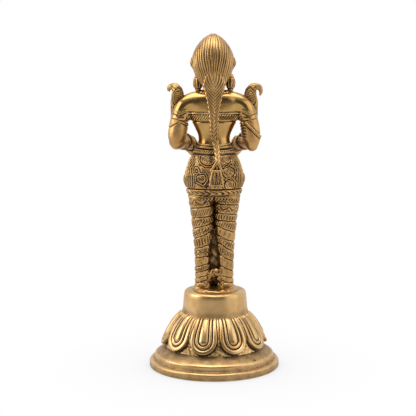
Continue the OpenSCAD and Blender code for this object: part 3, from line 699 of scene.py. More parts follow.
def make_feet():
    plate_r = 14.2
    plate = straight([0, pedestal_top], [plate_r, pedestal_top], 6)
    plate += [[plate_r, 47.5], [14.05, 48.0], [13.6, 48.6], [13.0, 49.0], [12.2, 49.3]]
    plate += [[11.0, ANKLE_Z], *straight([8, ANKLE_Z], [0, ANKLE_Z], 6)]

    def uneven(points, normals):
        top = ramp(points[:, 2], 47.6, 48.4) * ramp(points[:, 1], -6, 2)
        return (0.4 * rough(points, 5) - 0.2) * top

    trodden = mottled(0.32, 0.3, 5)
    cast_figure("foot_plate", lathe(plate, 160, (-0.8, -0.4)), uneven, soot=trodden)
    sole = [
        [7.6, 4.6, ANKLE_Z + 1.0, 3.5, 2.0],
        [7.5, -1.0, ANKLE_Z + 1.7, 3.7, 2.5],
        [7.2, -6.0, ANKLE_Z + 1.1, 3.6, 1.7],
        [7.1, -9.4, ANKLE_Z + 0.7, 3.4, 1.2],
    ]
    forms = [limb(sole, 40, 40, ref=(0, 0, 1))]
    for toe in range(5):
        x = 7.1 + (toe - 2) * 1.45
        tip = -12.6 + 0.42 * toe
        size = 1.0 - 0.09 * toe
        path = [
            [x, -8.4, ANKLE_Z + 0.7, size, size],
            [x, tip, ANKLE_Z + 0.4, size * 0.9, size * 0.85],
        ]
        forms.append(limb(path, 16, 20, ref=(0, 0, 1), cap=0.2))
    left = merged(forms, 0.28, 2)
    right = mirrored(left)
    cast_figure("left_foot", left, soot=trodden)
    cast_figure("right_foot", right, soot=trodden)


make_legs()
make_cloth_fall()
make_feet()

# Hip cloth and belts

HIPS = [
    [103.6, 0, 0.6, 14.8, 10.7],
    [106.0, 0, 0.7, 15.6, 11.2],
    [110.0, 0, 0.9, 16.8, 12.0],
    [115.0, 0, 1.0, 18.0, 12.4],
    [118.5, 0, 1.0, 17.9, 12.3],
    [122.0, 0, 0.9, 16.9, 11.6],
    [126.0, 0, 0.6, 15.6, 10.3],
    [130.0, 0, 0.2, 13.6, 9.0],
    [134.0, 0, 0, 11.4, 8.1],
    [137.0, 0, 0, 9.9, 7.6],
    [139.6, 0, 0, 9.2, 7.3],
]
UPPER_BELT_Z, LOWER_BELT_Z = 136.1, 132.8
# Lines above and below the border of the cloth
BORDER_TOP_Z, BORDER_FOOT_Z = 110.2, 106.4

# Round swags chased on the back of the cloth, and turned round on its front: x, height, radius
SWAGS = [
    (3.7, 129.2, 6.0),
    (7.6, 116.6, 4.2),
    (10.4, 121.4, 2.2),
    (-5.9, 128.0, 5.1),
    (-8.3, 120.5, 5.1),
    (-9.5, 113.2, 4.6),
]


def swag_relief(points):
    x, y, z = points.T
    cloth = np.zeros_like(z)
    turned_x = np.where(y < 0, -x, x) + 0.5 * rough(points, 6)
    wander = 0.5 * rough(points[:, [2, 0, 1]], 5)
    for sx, sz, radius in SWAGS:
        reach = np.hypot(turned_x - sx, z - sz + wander) - radius
        for ring in (0, 1.35):
            cloth += lines(reach + ring, (-0.6, 0.5, 0.4), (0, 0.42, -0.42))
        cloth += ramp(-2.9 - reach, 0, 0.6) * (0.2 * wave(x, 1.3) * wave(z, 1.3) - 0.2)
    return cloth


def hip_relief(points, normals):
    x, y, z = points.T
    _, cy, w, d = through(z, HIPS).T
    angle = np.arctan2((y - cy) / d, x / w)
    around = (w + d) / 2
    along = angle * around
    sag = z - 0.35 * np.cos(angle * 2) + 0.12 * rough(points, 6)
    belts = 0.6 * flat((sag - UPPER_BELT_Z) / 1.45) + 0.65 * flat((sag - LOWER_BELT_Z) / 1.2)
    belts -= lines(sag, (138.2, 0.5, 0.25), (134.4, 0.45, 0.35), (131.0, 0.5, 0.45))
    belts -= lines(sag, (UPPER_BELT_Z + 0.1, 0.4, 0.28), (LOWER_BELT_Z + 0.1, 0.35, 0.22))
    belts += 0.14 * wave(along, 1.3) * dome((sag - LOWER_BELT_Z) / 1.2)
    curls = np.cos(TURN * along / 3.4 + 1.6 * np.sin(TURN * z / 3.2))
    border = 0.35 * ramp(110.1 - z, 0, 0.5) + 0.26 * curls * dome((z - 108.3) / 1.7)
    border -= lines(z, (BORDER_TOP_Z, 0.5, 0.75), (BORDER_FOOT_Z, 0.5, 0.65))
    round_side = np.where(x > 0, angle, np.sign(angle) * math.pi - angle) * around
    flow = wave(round_side + 1.4 * np.sin(z * 0.42) + 0.3 * np.sin(z * 1.1), 1.9)
    # A rosette with two hanging ends closes the cloth on each side
    aside = ramp(np.abs(x), 12.4, 13.6)
    over = y - 0.6
    up = z - np.where(x > 0, 115.0, 116.2)
    reach = np.hypot(over, up)
    petals = 0.45 + 0.55 * np.abs(np.cos(4 * np.arctan2(up, over)))
    rosette = petals * dome(reach / 3.6) ** 2 * ramp(reach, 1.0, 1.5) + dome(reach / 1.2)
    tail = np.abs(over) - 0.9 + 0.22 * (up + 3)
    hanging = ramp(-up, 2.6, 3.4)
    covered = np.maximum(ramp(4.6 - reach, 0, 0.5), ramp(1.4 - np.abs(tail), 0, 0.4) * hanging)
    cloth = swag_relief(points) + 0.12 * rough(points, 2.4)
    cloth += 0.28 * flow * ramp(np.abs(x), 10.8, 12.2) * (1 - aside * covered)
    cloth += aside * (0.85 * rosette + 0.25 * dome(tail / 0.85) * hanging)
    cloth *= within(z, 110.4, 111.2, 130.6, 0.8)
    skirt = 0.25 * wave(along / 1.7 + 0.5 * np.sin(TURN * z / 3.2)) - line(x, 0.8)
    return belts + border + cloth + skirt * ramp(106.1 - z, 0, 0.4)


def hip_soot(points):
    """Dirt all over the cloth, and painted shade beside the plait and the tassel and down the
    middle between the legs.
    """
    x, y, z = points.T
    crotch_shade = 0.6 * line(x, 1.2) * ramp(107 - z, 0, 1)
    plait = 0.55 * line(x - 1.8, 2.2) * ramp(z, 122, 125)
    tassel = 0.5 * line(x - 5.0, 2.6) * ramp(122 - z, 0, 2)
    tassel += 0.3 * line(x + 5.6, 1.2) * ramp(124 - z, 0, 2)
    all_over = 0.22 + 0.1 * ramp(z, 130.6, 131.4) + 0.12 * rough(points, 9)
    return all_over + ramp(y, 4, 7) * (crotch_shade + plait + tassel)


cast_figure("hip_cloth", upright(HIPS, 220, 420), hip_relief, soot=hip_soot)

# Trunk, shoulders and upper arms

TRUNK = [
    [136.0, 0, 0, 10.4, 7.8],
    [139.7, 0, 0, 9.4, 7.5],
    [143.2, 0, 0, 10.0, 7.5],
    [145.7, 0, 0, 11.2, 7.8],
    [150.9, 0, 0, 13.8, 8.7],
    [156.0, 0, 0, 14.7, 8.9],
    [161.0, 0, 0, 13.2, 7.9],
    [165.5, 0, 0, 8.9, 6.6],
    [169.3, 0, 0, 5.5, 5.4],
    [176.0, 0, 0, 5.2, 5.2],
]
# Flat upper back between the shoulders
BACK = [
    [150.5, 0, 0.2, 13.4, 8.0],
    [154.0, 0, 0.2, 14.8, 8.5],
    [157.0, 0, 0.2, 17.2, 8.6],
    [160.5, 0, 0.2, 19.0, 8.5],
    [163.5, 0, 0.2, 18.2, 8.4],
    [165.6, 0, 0.2, 16.0, 8.0],
    [167.2, 0, 0.2, 13.0, 6.8],
    [168.2, 0, 0.2, 10.0, 4.9],
    [168.6, 0, 0.2, 8.0, 3.2],
]
UPPER_ARM = [
    [0, 0.2, 162.0, 7.0, 6.3],
    [9.4, 0.2, 162.4, 6.6, 6.4],
    [17.2, 0.3, 159.8, 5.9, 6.0],
    [20.9, 0.7, 151.3, 5.7, 5.7],
]
# The forearm castings butt against the upper arms here
ARM_JOINT = np.array([20.9, 0.7, 151.1])
ARM_WAY = unit(np.array([2.2, 0.5, -8.4]))


def trunk_relief(points, normals):
    x, y, z = points.T
    off = np.abs(x)
    body = ramp(16.2 - off, 0, 1.2)
    front = ramp(-y, 2, 5)
    # The breast band runs lower in front
    drop = z + 2.2 * ramp(-y, 1, 6)
    band = within(drop, 150.7, 151.0, 156.1, 0.3)
    strokes = 0.36 * np.tanh(1.6 * wave(x + 0.8 * np.sign(y) * z, 1.5))
    chased = strokes * within(drop, 151.4, 151.8, 154.8, 0.3)
    rim = lines(drop, (151.2, 0.35, 0.4), (154.9, 0.4, 0.45))
    seams = lines(drop, (150.5, 0.5, 0.6), (156.3, 0.4, 0.35))
    chest = body * (0.42 * band + chased - band * rim - seams)
    neckline = z - 158.6 - 0.035 * x * x
    bodice = 0.25 * ramp(-neckline, 0, 0.3) * ramp(drop, 155.8, 156.2)
    bodice += 0.3 * line(neckline + 0.6, 0.5)
    dots = 0.12 * wave(x, 2.2) * wave(z, 2.2)
    bodice += dots * ramp(-neckline, 1.2, 1.8) * ramp(drop, 156.2, 156.8)
    chest += front * body * bodice
    beads = np.abs(np.cos(np.arctan2(y, x) * 14))
    collar = 0.55 * beads * dome((z - 168.6) / 0.9) + 0.3 * line(z - 170.4, 0.4)
    chest += ramp(9.5 - np.hypot(x, y), 0, 1) * collar
    links = 0.2 + 0.2 * np.abs(np.cos(math.pi * x / 1.6))
    necklace = links * line(z - 162.4 - 0.045 * x * x, 0.6)
    chest += front * ramp(12 - off, 0, 1.5) * necklace
    away = (points - ARM_JOINT) @ (ARM_WAY * [0, 1, 1])
    arch = away + 0.42 * np.abs(off - 21.4)
    armlet = lines(arch, (-4.2, 0.4, 0.3), (-3.2, 0.4, 0.3), (-2.4, 0.4, -0.25))
    ribs = 0.6 + 0.4 * np.abs(np.cos(np.arctan2(y, off - 21) * 9))
    armlet += 0.32 * dome((away + 0.9) / 0.9) * ribs
    return chest + ramp(off, 16.0, 17.0) * ramp(158.5 - z, 0, 1) * armlet


def make_trunk():
    arm = limb(UPPER_ARM, 60, 56, cap=0.06)
    # The arm ends square at the armlet
    sawn(arm, ARM_JOINT, ARM_WAY)
    forms = [upright(TRUNK, 80, 96), mirrored(arm), arm]
    for hand in (-1, 1):
        forms.append(egg((hand * 6.2, -6.9, 153.6), (5.4, 4.6, 5.0), 32, 40))
    forms.append(upright(BACK, 60, 96))
    skin = merged(forms, 0.36, 22)

    def plait_shade(points):
        x, y, _ = points.T
        return ramp(y, 4, 6) * (0.3 * line(x, 4.2) + 0.1 * rough(points, 14))

    looks = "figure_brass", trunk_brass, ["figure"]
    finish("trunk", skin, *looks, trunk_relief, 0.6, plait_shade, 6, 50)


make_trunk()

# Head

# [height, x, y, half width, half depth]
SKULL = [
    [170.2, HEAD_X, 1.6, 3.0, 4.0],
    [173.4, HEAD_X, 1.4, 6.8, 8.0],
    [177.6, HEAD_X, 1.2, 9.4, 10.4],
    [182.0, HEAD_X, 1.0, 11.0, 11.8],
    [186.8, HEAD_X, 0.8, 11.55, 12.4],
    [190.6, HEAD_X, 0.6, 11.0, 12.3],
    [194.4, HEAD_X, 0.5, 9.3, 11.0],
    [197.6, HEAD_X, 0.5, 6.9, 8.7],
    [200.0, HEAD_X, 0.6, 4.3, 5.8],
    [crown_z - 1.05, HEAD_X, 0.8, 1.1, 1.6],
]


def calm_face(x, z):
    """Even features: lidded eyes, arched brows, closed lips and a round mark on the forehead."""
    lip_z, eye_z, brow_z, mark_z = 176.2, 183.4, 186.6, 188.4
    off = np.abs(x)
    eye_x = off - 4.0
    eye = np.hypot(eye_x / 2.5, (z - eye_z + 0.05 * eye_x * eye_x) / 0.95)
    look = 0.5 * dome(eye) + lines(eye, (1.25, 0.22, 0.3), (0.98, 0.14, -0.25))
    brow = z - brow_z - 0.9 * np.sin(np.clip((off - 1.4) / 6.2, 0, 1) * math.pi)
    look += 0.3 * line(brow, 0.55) * within(off, 1.2, 1.9, 7.8, 1)
    lip = lines(z - lip_z - 0.05 * x * x, (0.75, 0.65, 0.45), (-0.85, 0.75, 0.5), (0, 0.3, -0.3))
    look += ramp(2.9 - off, 0, 1.0) * lip
    return look + 0.3 * ramp(0.8 - np.hypot(x, z - mark_z), 0, 0.3)


def head_relief(points, normals):
    """Combed strands that run from the crown to the nape, a hairline, and the face in front."""
    x, y, z = (points - [HEAD_X, 0, 0]).T
    face = np.hypot(x / 9.4, (z - 181.8) / 10.6)
    front = ramp(-y, 3.0, 5.5)
    hair = 1 - front * ramp(1.06 - face, 0, 0.06)
    hair *= ramp(z, 167.5, 169.5) * ramp(y + ramp(z, 174, 176) * 20, 2, 4)
    wide = through(z, [[row[0], row[3]] for row in SKULL])[:, 0]
    wide = np.maximum(wide, 4.8 + 0.5 * ramp(z, 168, 182) * (z - 168)) * ramp(crown_z + 2 - z, 0, 8)
    side = np.clip(x / np.maximum(wide, 1.2), -1.2, 1.2)
    side = np.where(y < -1.0, np.sign(x) * (2 - np.abs(side)), side)
    turned = np.arctan2(x, y + 1.0) * 2 / math.pi
    count = 6.8 * side + 4.7 * turned + 0.12 * np.sin(0.35 * z + 9 * turned)
    # Every groove has its own depth, and all are rubbed down towards the crown
    cut = (0.7 + 0.3 * np.sin(2.4 * np.rint(count))) * (1 - 0.55 * ramp(z, 190, 197))
    strands = 1 - cut * (1 - np.abs(np.sin(math.pi * count)) ** 0.6)
    ear = np.hypot((y - 0.4) / 2.0, (z - 186.0) / 2.7)
    beside = ramp(np.abs(x), 12.1, 12.6) * ramp(1.5 - ear, 0, 0.2)
    height = hair * (0.15 + 0.9 * strands) * (1 - beside)
    height -= 0.5 * beside * line(ear - 0.6, 0.3) * ramp(z + y, 185, 186)
    return height + front * calm_face(x, z) * ramp(1 - face, 0, 0.1)


def make_head():
    nose = [
        [HEAD_X, -13.7, 186.2, 0.7, 0.8],
        [HEAD_X, -14.4, 182.4, 0.95, 1.0],
        [HEAD_X, -14.8, 180.5, 1.35, 1.15],
    ]
    gathered_hair = [
        [HEAD_X, 3.0, 188, 10.6, 8.0],
        [0.5, 5.2, 180, 9.0, 7.0],
        [0.2, 7.0, 174, 6.6, 4.9],
        [0, 7.6, 168, 4.9, 3.8],
    ]
    forms = [
        upright(SKULL, 120, 120),
        egg((HEAD_X, -4.2, 182.6), (9.5, 10.2, 11.4), 64, 80, below=11.8),
        egg((HEAD_X, -5.4, 187.6), (8.4, 8.6, 6.4), 40, 56),
        limb(nose, 24, 24, ref=(1, 0, 0), cap=0.2),
        egg((HEAD_X, -10.9, 176.6), (4.0, 2.7, 3.2), 24, 32),
        egg((HEAD_X, -10.2, 173.4), (3.4, 2.5, 2.6), 20, 28),
        limb(gathered_hair, 60, 60, cap=0.1),
    ]
    # Nostrils, cheeks, jaw and ears
    for hand in (-1, 1):
        forms.append(egg((HEAD_X + hand * 1.25, -14.0, 180.1), (0.9, 1.0, 0.8), 16, 20))
        forms.append(egg((HEAD_X + hand * 5.0, -10.4, 179.2), (3.4, 2.3, 3.6), 24, 32))
        forms.append(egg((HEAD_X + hand * 3.8, -9.3, 175.8), (3.4, 2.8, 3.4), 24, 32))
        forms.append(egg((HEAD_X + hand * 12.0, 0.5, 185.9), (2.0, 2.7, 3.3), 24, 28))

    # Uneven tone all over, darker towards the nape, and painted shade down the middle of the back
    # of the head
    def hair_tone_and_shade(points):
        x, y, z = points.T
        nape = ramp(186 - z, 0, 8) * ramp(y, 4, 8)
        middle = line(x - HEAD_X, 5) * within(z, 176, 182, 195, 5)
        return 0.12 + 0.1 * rough(points, 11) + 0.12 * nape + 0.22 * middle * ramp(y, 2, 6)

    cast_figure("head", merged(forms, 0.205, 24), head_relief, soot=hair_tone_and_shade)


def make_ear_pendants():
    """Long drops that hang from the ears to the shoulders."""

    def drop_relief(points, normals):
        x, y, z = points.T
        turn = np.arctan2(y + 0.4, np.abs(x) - 9.9)
        ribs = 0.2 * np.cos(turn * 9) * within(z, 170.6, 171.4, 176.4, 0.8)
        return ribs - lines(z, (176.9, 0.5, 0.35), (170.2, 0.5, 0.35))

    # Painted shade on the inner side of each drop, where it faces the neck, over an even tone
    def inner_side_shade(points):
        return 0.15 + 0.6 * ramp(10.4 - np.abs(points[:, 0]), 0, 1.8)

    left = egg((9.8, -0.4, 173.8), (2.8, 2.9, 5.6), 72, 72)
    right = mirrored(left)
    cast_figure("left_ear_pendant", left, drop_relief, soot=inner_side_shade)
    cast_figure("right_ear_pendant", right, drop_relief, soot=inner_side_shade)


make_head()
make_ear_pendants()

# Plait and tassel

# [x, y, height, half width, half depth]
PLAIT = [
    [0.5, 12.0, 183.4, 1.0, 1.0],
    [0.4, 11.0, 178.8, 4.4, 2.2],
    [0.1, 9.7, 173.2, 6.5, 3.1],
    [0, 9.3, 166.4, 5.1, 2.7],
    [0.1, 9.6, 159.8, 3.7, 2.3],
    [0, 9.9, 153.0, 2.9, 2.1],
    [0, 9.7, 146.6, 2.5, 2.0],
    [-0.5, 8.8, 140.4, 2.1, 1.8],
    [-1.5, 9.4, 135.6, 1.85, 1.75],
    [-2.0, 10.4, 130.0, 1.8, 2.3],
    [-2.0, 11.8, 126.0, 1.8, 2.3],
]
# [height, x, y, half width, half depth]
TASSEL = [
    [112.2, -1.3, 12.7, 4.6, 2.2],
    [114.0, -1.3, 12.9, 4.5, 2.2],
    [118.2, -1.4, 12.9, 3.7, 2.1],
    [121.8, -1.5, 12.7, 2.9, 1.9],
]
TASSEL_FOOT, TASSEL_X = TASSEL[0][:2]


def plait_relief(points, normals):
    """Strands that lean in from both edges and cross on the middle line."""
    x, _, z = points.T
    cx, w = through(-z, [[-s[2], s[0], s[3]] for s in PLAIT]).T
    across = np.clip((x - cx) / w, -1, 1)
    fall = (z + 1.6 * w * (1 - np.abs(across))) / 2.7 + 0.5 * (across > 0)
    strand = np.abs(np.sin(math.pi * fall))
    back = ramp(normals[:, 1], -0.2, 0.2)
    return back * (0.6 * strand**0.6 - 0.35 - 0.22 * line(across, 0.14))


def tassel_relief(points, normals):
    """Bell with a raised edge, threads inside it and a slot in its middle."""
    x, _, z = points.T
    w = through(z, [[s[0], s[3]] for s in TASSEL])[:, 0]
    off = np.abs(x - TASSEL_X)
    inside = np.minimum(w - off, z - TASSEL_FOOT)
    edge = 0.4 * flat((inside - 0.6) / 0.6) + 0.12 * rough(points, 1.8)
    edge -= 0.25 * ramp(inside, 1.2, 1.7)
    threads = 0.16 * wave(off + 0.3 * np.sin(z), 1.5) * ramp(inside, 1.4, 1.9)
    slot = ramp(0.75 - off, 0, 0.4) * within(z, 115.4, 116.2, 120.8, 0.8)
    return ramp(normals[:, 1], 0.0, 0.4) * (edge + threads - 1.7 * slot)


def make_plait():
    rubbed = mottled(-0.32, 0.12, 6)

    def dirt(points):
        middle = ramp(3.0 - np.abs(points[:, 0] - TASSEL_X), 0, 1.5)
        return 0.15 + 0.4 * middle * ramp(121 - points[:, 2], 0, 1)

    # Painted shade on the side of the cords that faces the body
    def behind(points):
        return 0.7 * ramp(13.2 - points[:, 1], 0, 0.5)

    cast_figure("plait", limb(PLAIT, 260, 96, cap=0.03), plait_relief, soot=rubbed)
    cast_figure("tassel", upright(TASSEL, 96, 130), tassel_relief, soot=dirt)
    # The plait parts into two cords over the tassel's cap
    cords = [
        egg((-1.5, 12.7, 121.7), (3.4, 2.0, 0.8), 20, 32),
        egg((-1.7, 11.4, 124.2), (1.7, 1.7, 3.8), 24, 32),
    ]
    for end in (2.0, -4.6):
        path = [
            [-2.0, 12.6, 127.4, 1.2, 1.2],
            [0.5 * end - 1.0, 13.3, 124.4, 0.85, 0.85],
            [end, 13.2, 121.6, 0.8, 0.8],
        ]
        cords.append(limb(path, 28, 24))
    cast_figure("tassel_cords", merged(cords, 0.22, 1), soot=behind)


make_plait()

# Forearms and hands

BOWL_Y = -25.0
BOWL_R = 10.7
BOWL_Z = bowl_low[2]
BOWL_H = bowl_high[2] - bowl_low[2]
WRIST = [11.56, BOWL_Y + 4.7, BOWL_Z + BOWL_H * 0.42]
PALM = [8.56, BOWL_Y + 0.86, BOWL_Z + BOWL_H * 0.12]
# Gap that the braze fills between the upper arm and the forearm casting
BRAZE_GAP = 0.1


def by_bowl(a, share, lift, w):
    """Station of a finger at an angle round the bowl, by shares of its radius and height."""
    r = BOWL_R * share
    return [r * math.cos(a), BOWL_Y + r * math.sin(a), BOWL_Z + BOWL_H * lift, w, w]


def forearm_forms(tip_z):
    """Elbow with its lowest point at a height, forearm, palm, fingers and thumb, left side."""
    elbow = [
        [20.9, 0.7, 151.3, 5.65, 5.65],
        [21.9, 1.1, 145.4, 5.75, 5.75],
        [22.6, 1.5, tip_z + 6.8, 5.3, 5.4],
        [22.8, 1.6, tip_z + 3.2, 3.7, 4.2],
    ]
    forearm = [
        [22.4, 0.6, 138.6, 5.0, 5.0],
        [19.8, -7.0, 138.4, 4.9, 4.9],
        [15.5, -13.8, 136.6, 4.3, 4.3],
        [*WRIST, 3.2, 2.9],
        [*PALM, 3.5, 2.3],
    ]
    thumb = [
        [(p + q) / 2 for p, q in zip(WRIST, PALM)] + [1.7, 1.7],
        [BOWL_R * 1.1, BOWL_Y + 3.6, BOWL_Z + BOWL_H * 0.6, 1.35, 1.35],
        [BOWL_R * 1.14, BOWL_Y + 0.9, BOWL_Z + BOWL_H * 0.74, 1.0, 1.0],
    ]
    upper = limb(elbow, 50, 48, cap=0.12)
    sawn(upper, ARM_JOINT + ARM_WAY * BRAZE_GAP, -ARM_WAY)
    forms = [upper, limb(forearm, 70, 48, ref=(0, 0, 1))]
    for finger in range(4):
        a = math.radians(8 - 21 * finger)
        root = [0.75 * p + 0.25 * q for p, q in zip([*PALM, 1.3, 1.3], by_bowl(a, 0.6, 0, 1.3))]
        tips = ((0.86, 0.03, 1.25), (0.97, 0.28, 1.15), (1.04, 0.52, 0.95))
        path = [root] + [by_bowl(a, *tip) for tip in tips]
        forms.append(limb(path, 24, 20, ref=(0, 0.2, 1), cap=0.12))
    forms.append(limb(thumb, 24, 20, ref=(1, 0, 0), cap=0.12))
    return forms


def forearm_relief(hand):
    """A peaked edge on the left armlet, a beaded slanting one on the right, and bangles on both."""

    def relief(points, normals):
        x, y, z = points.T
        side = np.abs(x)
        arm = within(z, 139.5, 141.0, 150.9, 0.5)
        if hand > 0:
            peak = z - 152.6 + 0.55 * np.abs(side - 21.0)
            armlet = lines(peak, (-1.4, 0.4, 0.35), (-2.2, 0.45, -0.5))
        else:
            slope = z - 149.1 - 0.96 * (19.7 - side)
            beads = 0.5 + 0.5 * np.abs(np.cos(math.pi * (side - z) / 1.9))
            armlet = 0.75 * beads * dome(slope / 1.2)
            armlet -= lines(slope, (-1.6, 0.45, 0.6), (1.5, 0.4, 0.6))
            lace = ramp(19.6 - side, 0, 0.8) * ramp(z, 139.5, 140.5)
            armlet += 0.3 * lace * wave(z, 1.8)
        along = (-y - 6.0) / 18.5
        bangles = sum(dome((along - ring) / 0.038) for ring in (0.14, 0.46, 0.56, 0.66))
        dents = 0.25 * rough(points, 5) * ramp(-y, 2.0, 5.0) * ramp(y, -18, -16)
        return arm * armlet + 0.75 * bangles * ramp(-y, 7.0, 8.0) + dents

    return relief


def make_forearms():
    def handled(points):
        lower = ramp(-points[:, 1], 2, 6)
        return 0.1 * rough(points, 8) + (0.4 + 0.3 * rough(points, 4)) * lower

    for hand, name, tip_z in ((1, "left_forearm", 134.0), (-1, "right_forearm", 133.0)):
        arm = merged(forearm_forms(tip_z), 0.33, 4)
        if hand < 0:
            arm = mirrored(arm)
        casting, relief = name + "_casting", forearm_relief(hand)
        finish(casting, arm, "forearm_brass", forearm_brass, [name], relief, 0.6, handled, 6, 50)


make_forearms()

# Bowl

# Shares of the bowl's radius and height, and of the spout's reach
BOWL_OUTSIDE = [
    (0, 0, 0),
    (0.3, 0, 0),
    (0.43, 0, 0),
    (0.47, 0.06, 0),
    (0.45, 0.14, 0),
    (0.58, 0.22, 0.04),
    (0.76, 0.36, 0.18),
    (0.88, 0.52, 0.4),
    (0.95, 0.7, 0.68),
    (0.965, 0.84, 0.86),
    (0.99, 0.9, 0.96),
    (1, 0.95, 1),
    (0.985, 0.995, 1),
]
BOWL_INSIDE = [
    (0.86, 0.84, 0.8),
    (0.78, 0.62, 0.45),
    (0.64, 0.45, 0.2),
    (0.42, 0.34, 0.05),
    (0.2, 0.3, 0),
    (0, 0.29, 0),
]
SPOUT_REACH = 3.8


def make_bowl():
    r, h = BOWL_R, BOWL_H
    rows = [[r * a, h * b, c] for a, b, c in BOWL_OUTSIDE]
    rows += [[r - 0.7, h, 1], [r - 1.25, h * 0.985, 1]]
    rows += [[r * a, h * b, c] for a, b, c in BOWL_INSIDE]
    path = [[i, *row] for i, row in enumerate(rows)]

    def place(u, v):
        d, z, share = through(v * (len(rows) - 1), path).T
        a = TURN * u
        front = a - 1.5 * math.pi
        off = np.degrees(np.arctan2(np.sin(front), np.cos(front)))
        d = d + SPOUT_REACH * share * np.exp(-((off / 21) ** 2)) * (d > 0)
        return np.column_stack([d * np.cos(a), BOWL_Y + d * np.sin(a), BOWL_Z + z])

    def flutes(points, normals):
        x, y, z = points.T
        turn = np.arctan2(y - BOWL_Y, x)
        wall = ramp(z - BOWL_Z, h * 0.2, h * 0.32) * ramp(BOWL_Z + h * 0.82 - z, 0, 0.6)
        wall *= ramp(-normals[:, 2], -0.1, 0.1)
        return -0.18 * wall * np.abs(np.cos(turn * 14)) ** 6

    finish("oil_bowl", sheet(120, 200, place), "bowl_brass", bowl_brass, ["lamp_bowl"], flutes)


make_bowl()

# Birds

BIRD_SEAT = np.array([22.9, -2.6, 163.9])


def bird_form(turn, hook):
    """Bird that looks outwards on the left shoulder; hook is how far its beak's tip hangs."""
    body = [
        [2.6, 0, -12.5, 1.0, 1.5],
        [2.0, 0, -6.9, 1.7, 2.0],
        [0.8, 0, -2.1, 2.95, 2.95],
        [-1.0, 0, 2.0, 3.8, 3.5],
        [-0.5, 0, 5.2, 3.35, 3.0],
        [1.0, 0, 7.3, 2.55, 2.45],
        [2.6, 0, 7.6, 1.7, 1.6],
    ]
    beak = [
        [2.4, 0, 7.6, 2.05, 1.9],
        [4.5, 0, 7.0, 1.7, 1.6],
        [5.4, 0, 7.0 - 0.55 * hook, 1.15, 1.1],
        [4.9, 0, 7.0 - hook, 0.55, 0.6],
    ]
    forms = [limb(body, 70, 40), limb(beak, 30, 28)]
    # Wings and eyes
    for hand in (-1, 1):
        forms.append(egg((-0.6, hand * 2.6, 1.6), (2.5, 1.5, 4.2), 28, 28))
        forms.append(egg((2.0, hand * 2.05, 8.2), (0.65, 0.55, 0.65), 14, 16))
    turned = merged(forms, 0.26, 2)
    a = math.radians(-turn)
    for vert in turned.verts:
        x, y, z = vert.co
        vert.co = (
            BIRD_SEAT[0] + x * math.cos(a) - y * math.sin(a),
            BIRD_SEAT[1] + x * math.sin(a) + y * math.cos(a),
            BIRD_SEAT[2] + z,
        )
    return turned


def feathers(points, normals):
    x, _, z = points.T
    along = z - BIRD_SEAT[2]
    across = np.abs(x) - BIRD_SEAT[0]
    neck = within(along, 4.2, 5.2, 8.6, 0.8) * ramp(3.2 - across, 0, 1)
    slant = wave(along * 0.75 - across * 0.6, 1.7)
    tail = wave(across, 1.1) * ramp(-along, 3.0, 4.5)
    wing = np.hypot((across + 0.6 + 0.15 * along) / 2.5, (along - 1.6) / 4.2)
    barbs = 0.15 * wave(along - 0.5 * np.abs(across + 0.7), 1.25) * ramp(1 - wing, 0.05, 0.2)
    edge = lines(wing, (1.0, 0.16, 0.45), (1.24, 0.16, -0.4))
    flank = ramp(np.abs(normals[:, 1]), 0.35, 0.6)
    return 0.16 * slant * neck + 0.14 * tail + flank * (barbs + edge)


def make_birds():
    handled = mottled(0.12, 0.1, 6)
    left, right = bird_form(30, 2.2), mirrored(bird_form(4, 4.6))
    for form, name in ((left, "left_bird"), (right, "right_bird")):
        casting = name + "_casting"
        finish(casting, form, "bird_brass", bird_brass, [name], feathers, 0.6, handled, 6, 40)


make_birds()

# Pins and fasteners stay as the frame has them, with their finish

for cad_node, material in {
    "elbow_dowels": pin_brass,
    "bird_pins": pin_brass,
    "figure_stud": fastener_steel,
    "stud_washer": fastener_steel,
    "stud_nut": fastener_steel,
}.items():
    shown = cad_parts[cad_node]
    shown.data.materials.clear()
    shown.data.materials.append(material)

# Studio


def rays(tree):
    """1 for what the camera sees, and 1 for what the camera, a mirror or glass shows."""
    path = add(tree, "LightPath").node.outputs
    camera = path["Is Camera Ray"]
    mirrors = [path["Is Glossy Ray"], path["Is Transmission Ray"]]
    mirror = add(tree, "Math", mirrors, operation="MAXIMUM")
    return camera, add(tree, "Math", [camera, mirror], operation="MAXIMUM")


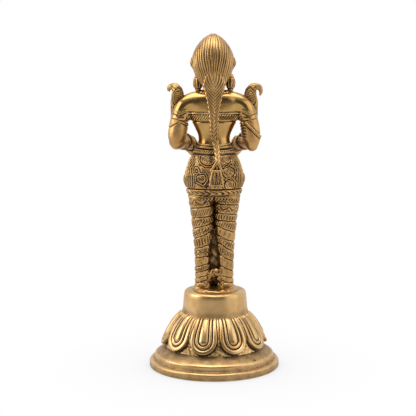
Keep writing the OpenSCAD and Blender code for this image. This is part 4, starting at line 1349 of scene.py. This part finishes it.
def make_floor():
    """White paper: white where the camera or a mirror looks at it, less the lamp's soft shadow."""
    bm = bmesh.new()
    bmesh.ops.create_grid(bm, x_segments=1, y_segments=1, size=6.0)
    mesh = bpy.data.meshes.new("floor")
    bm.to_mesh(mesh)
    bm.free()
    paper, tree, shader = blank("white_paper")
    matt = {"Base Color": colour("#E8E8E6"), "Roughness": 0.9, "Specular IOR Level": 0.0}
    plug(tree, shader, matt)
    shade = add(tree, "AmbientOcclusion", {"Distance": 0.09}, "AO", samples=8)
    light = add(tree, "MapRange", [shade, 0.3, 0.98, 0.72, 1.0])
    glow = add(tree, "Emission", {"Strength": light})
    _, shown = rays(tree)
    both = add(tree, "MixShader", [shown, shader.outputs[0], glow])
    plug(tree, tree.nodes["Material Output"], {"Surface": both})
    mesh.materials.append(paper)
    floor = placed("floor", mesh)


def make_world():
    """White paper behind the lamp, and a dimmer room behind the camera for the metal to mirror."""
    ambient = 0.55
    world = bpy.data.worlds.new("studio")
    bpy.context.scene.world = world
    world.use_nodes = True
    tree = world.node_tree
    way = add(tree, "TexCoord", output="Generated")
    split = add(tree, "SeparateXYZ", {0: way}).node.outputs
    smooth = {"interpolation_type": "SMOOTHSTEP"}
    room = add(tree, "MapRange", [split["Y"], -0.25, 0.75, 1.0, 0.12], **smooth)
    ceiling = add(tree, "MapRange", [split["Z"], 0.38, 0.8, 0.12, 0.6], **smooth)
    camera, shown = rays(tree)
    inside = add(tree, "Math", [room, ceiling], operation="MAXIMUM")
    level = add(tree, "Math", [inside, camera], operation="MAXIMUM")
    strength = add(tree, "Mix", {0: shown, 2: ambient, 3: level}, data_type="FLOAT")
    plug(tree, tree.nodes["Background"], {"Strength": strength, "Color": (1, 1, 1, 1)})


def soft_box(name, place, size, power):
    """Square soft light that faces the lamp's middle."""
    light = bpy.data.lights.new(name, "AREA")
    light.size = size
    light.energy = power
    lamp = placed(name, light)
    lamp.location = place
    target = np.array([0, 0, 0.1]) - np.array(place)
    lamp.rotation_mode = "QUATERNION"
    lamp.rotation_quaternion = Vector(target).to_track_quat("-Z", "Y")


def make_camera():
    """At the photograph's height and distance, behind the figure, tilted down a little."""
    tilt = 7.212
    lens = bpy.data.cameras.new("camera")
    lens.sensor_width = 36
    lens.lens = 92.84
    lens.shift_x = -0.0149
    camera = placed("camera", lens)
    camera.location = (0, 0.650, 0.180)
    camera.rotation_euler = (math.radians(90 - tilt), 0, math.pi)
    bpy.context.scene.camera = camera


make_floor()
make_world()
soft_box("top_light", (0.05, 0.05, 0.85), 0.8, 5.8)
soft_box("left_light", (0.78, 0.12, 0.42), 0.6, 3.4)
soft_box("right_light", (-0.7, 0.3, 0.4), 0.75, 2.0)
make_camera()

bpy.context.scene.view_settings.view_transform = "Standard"
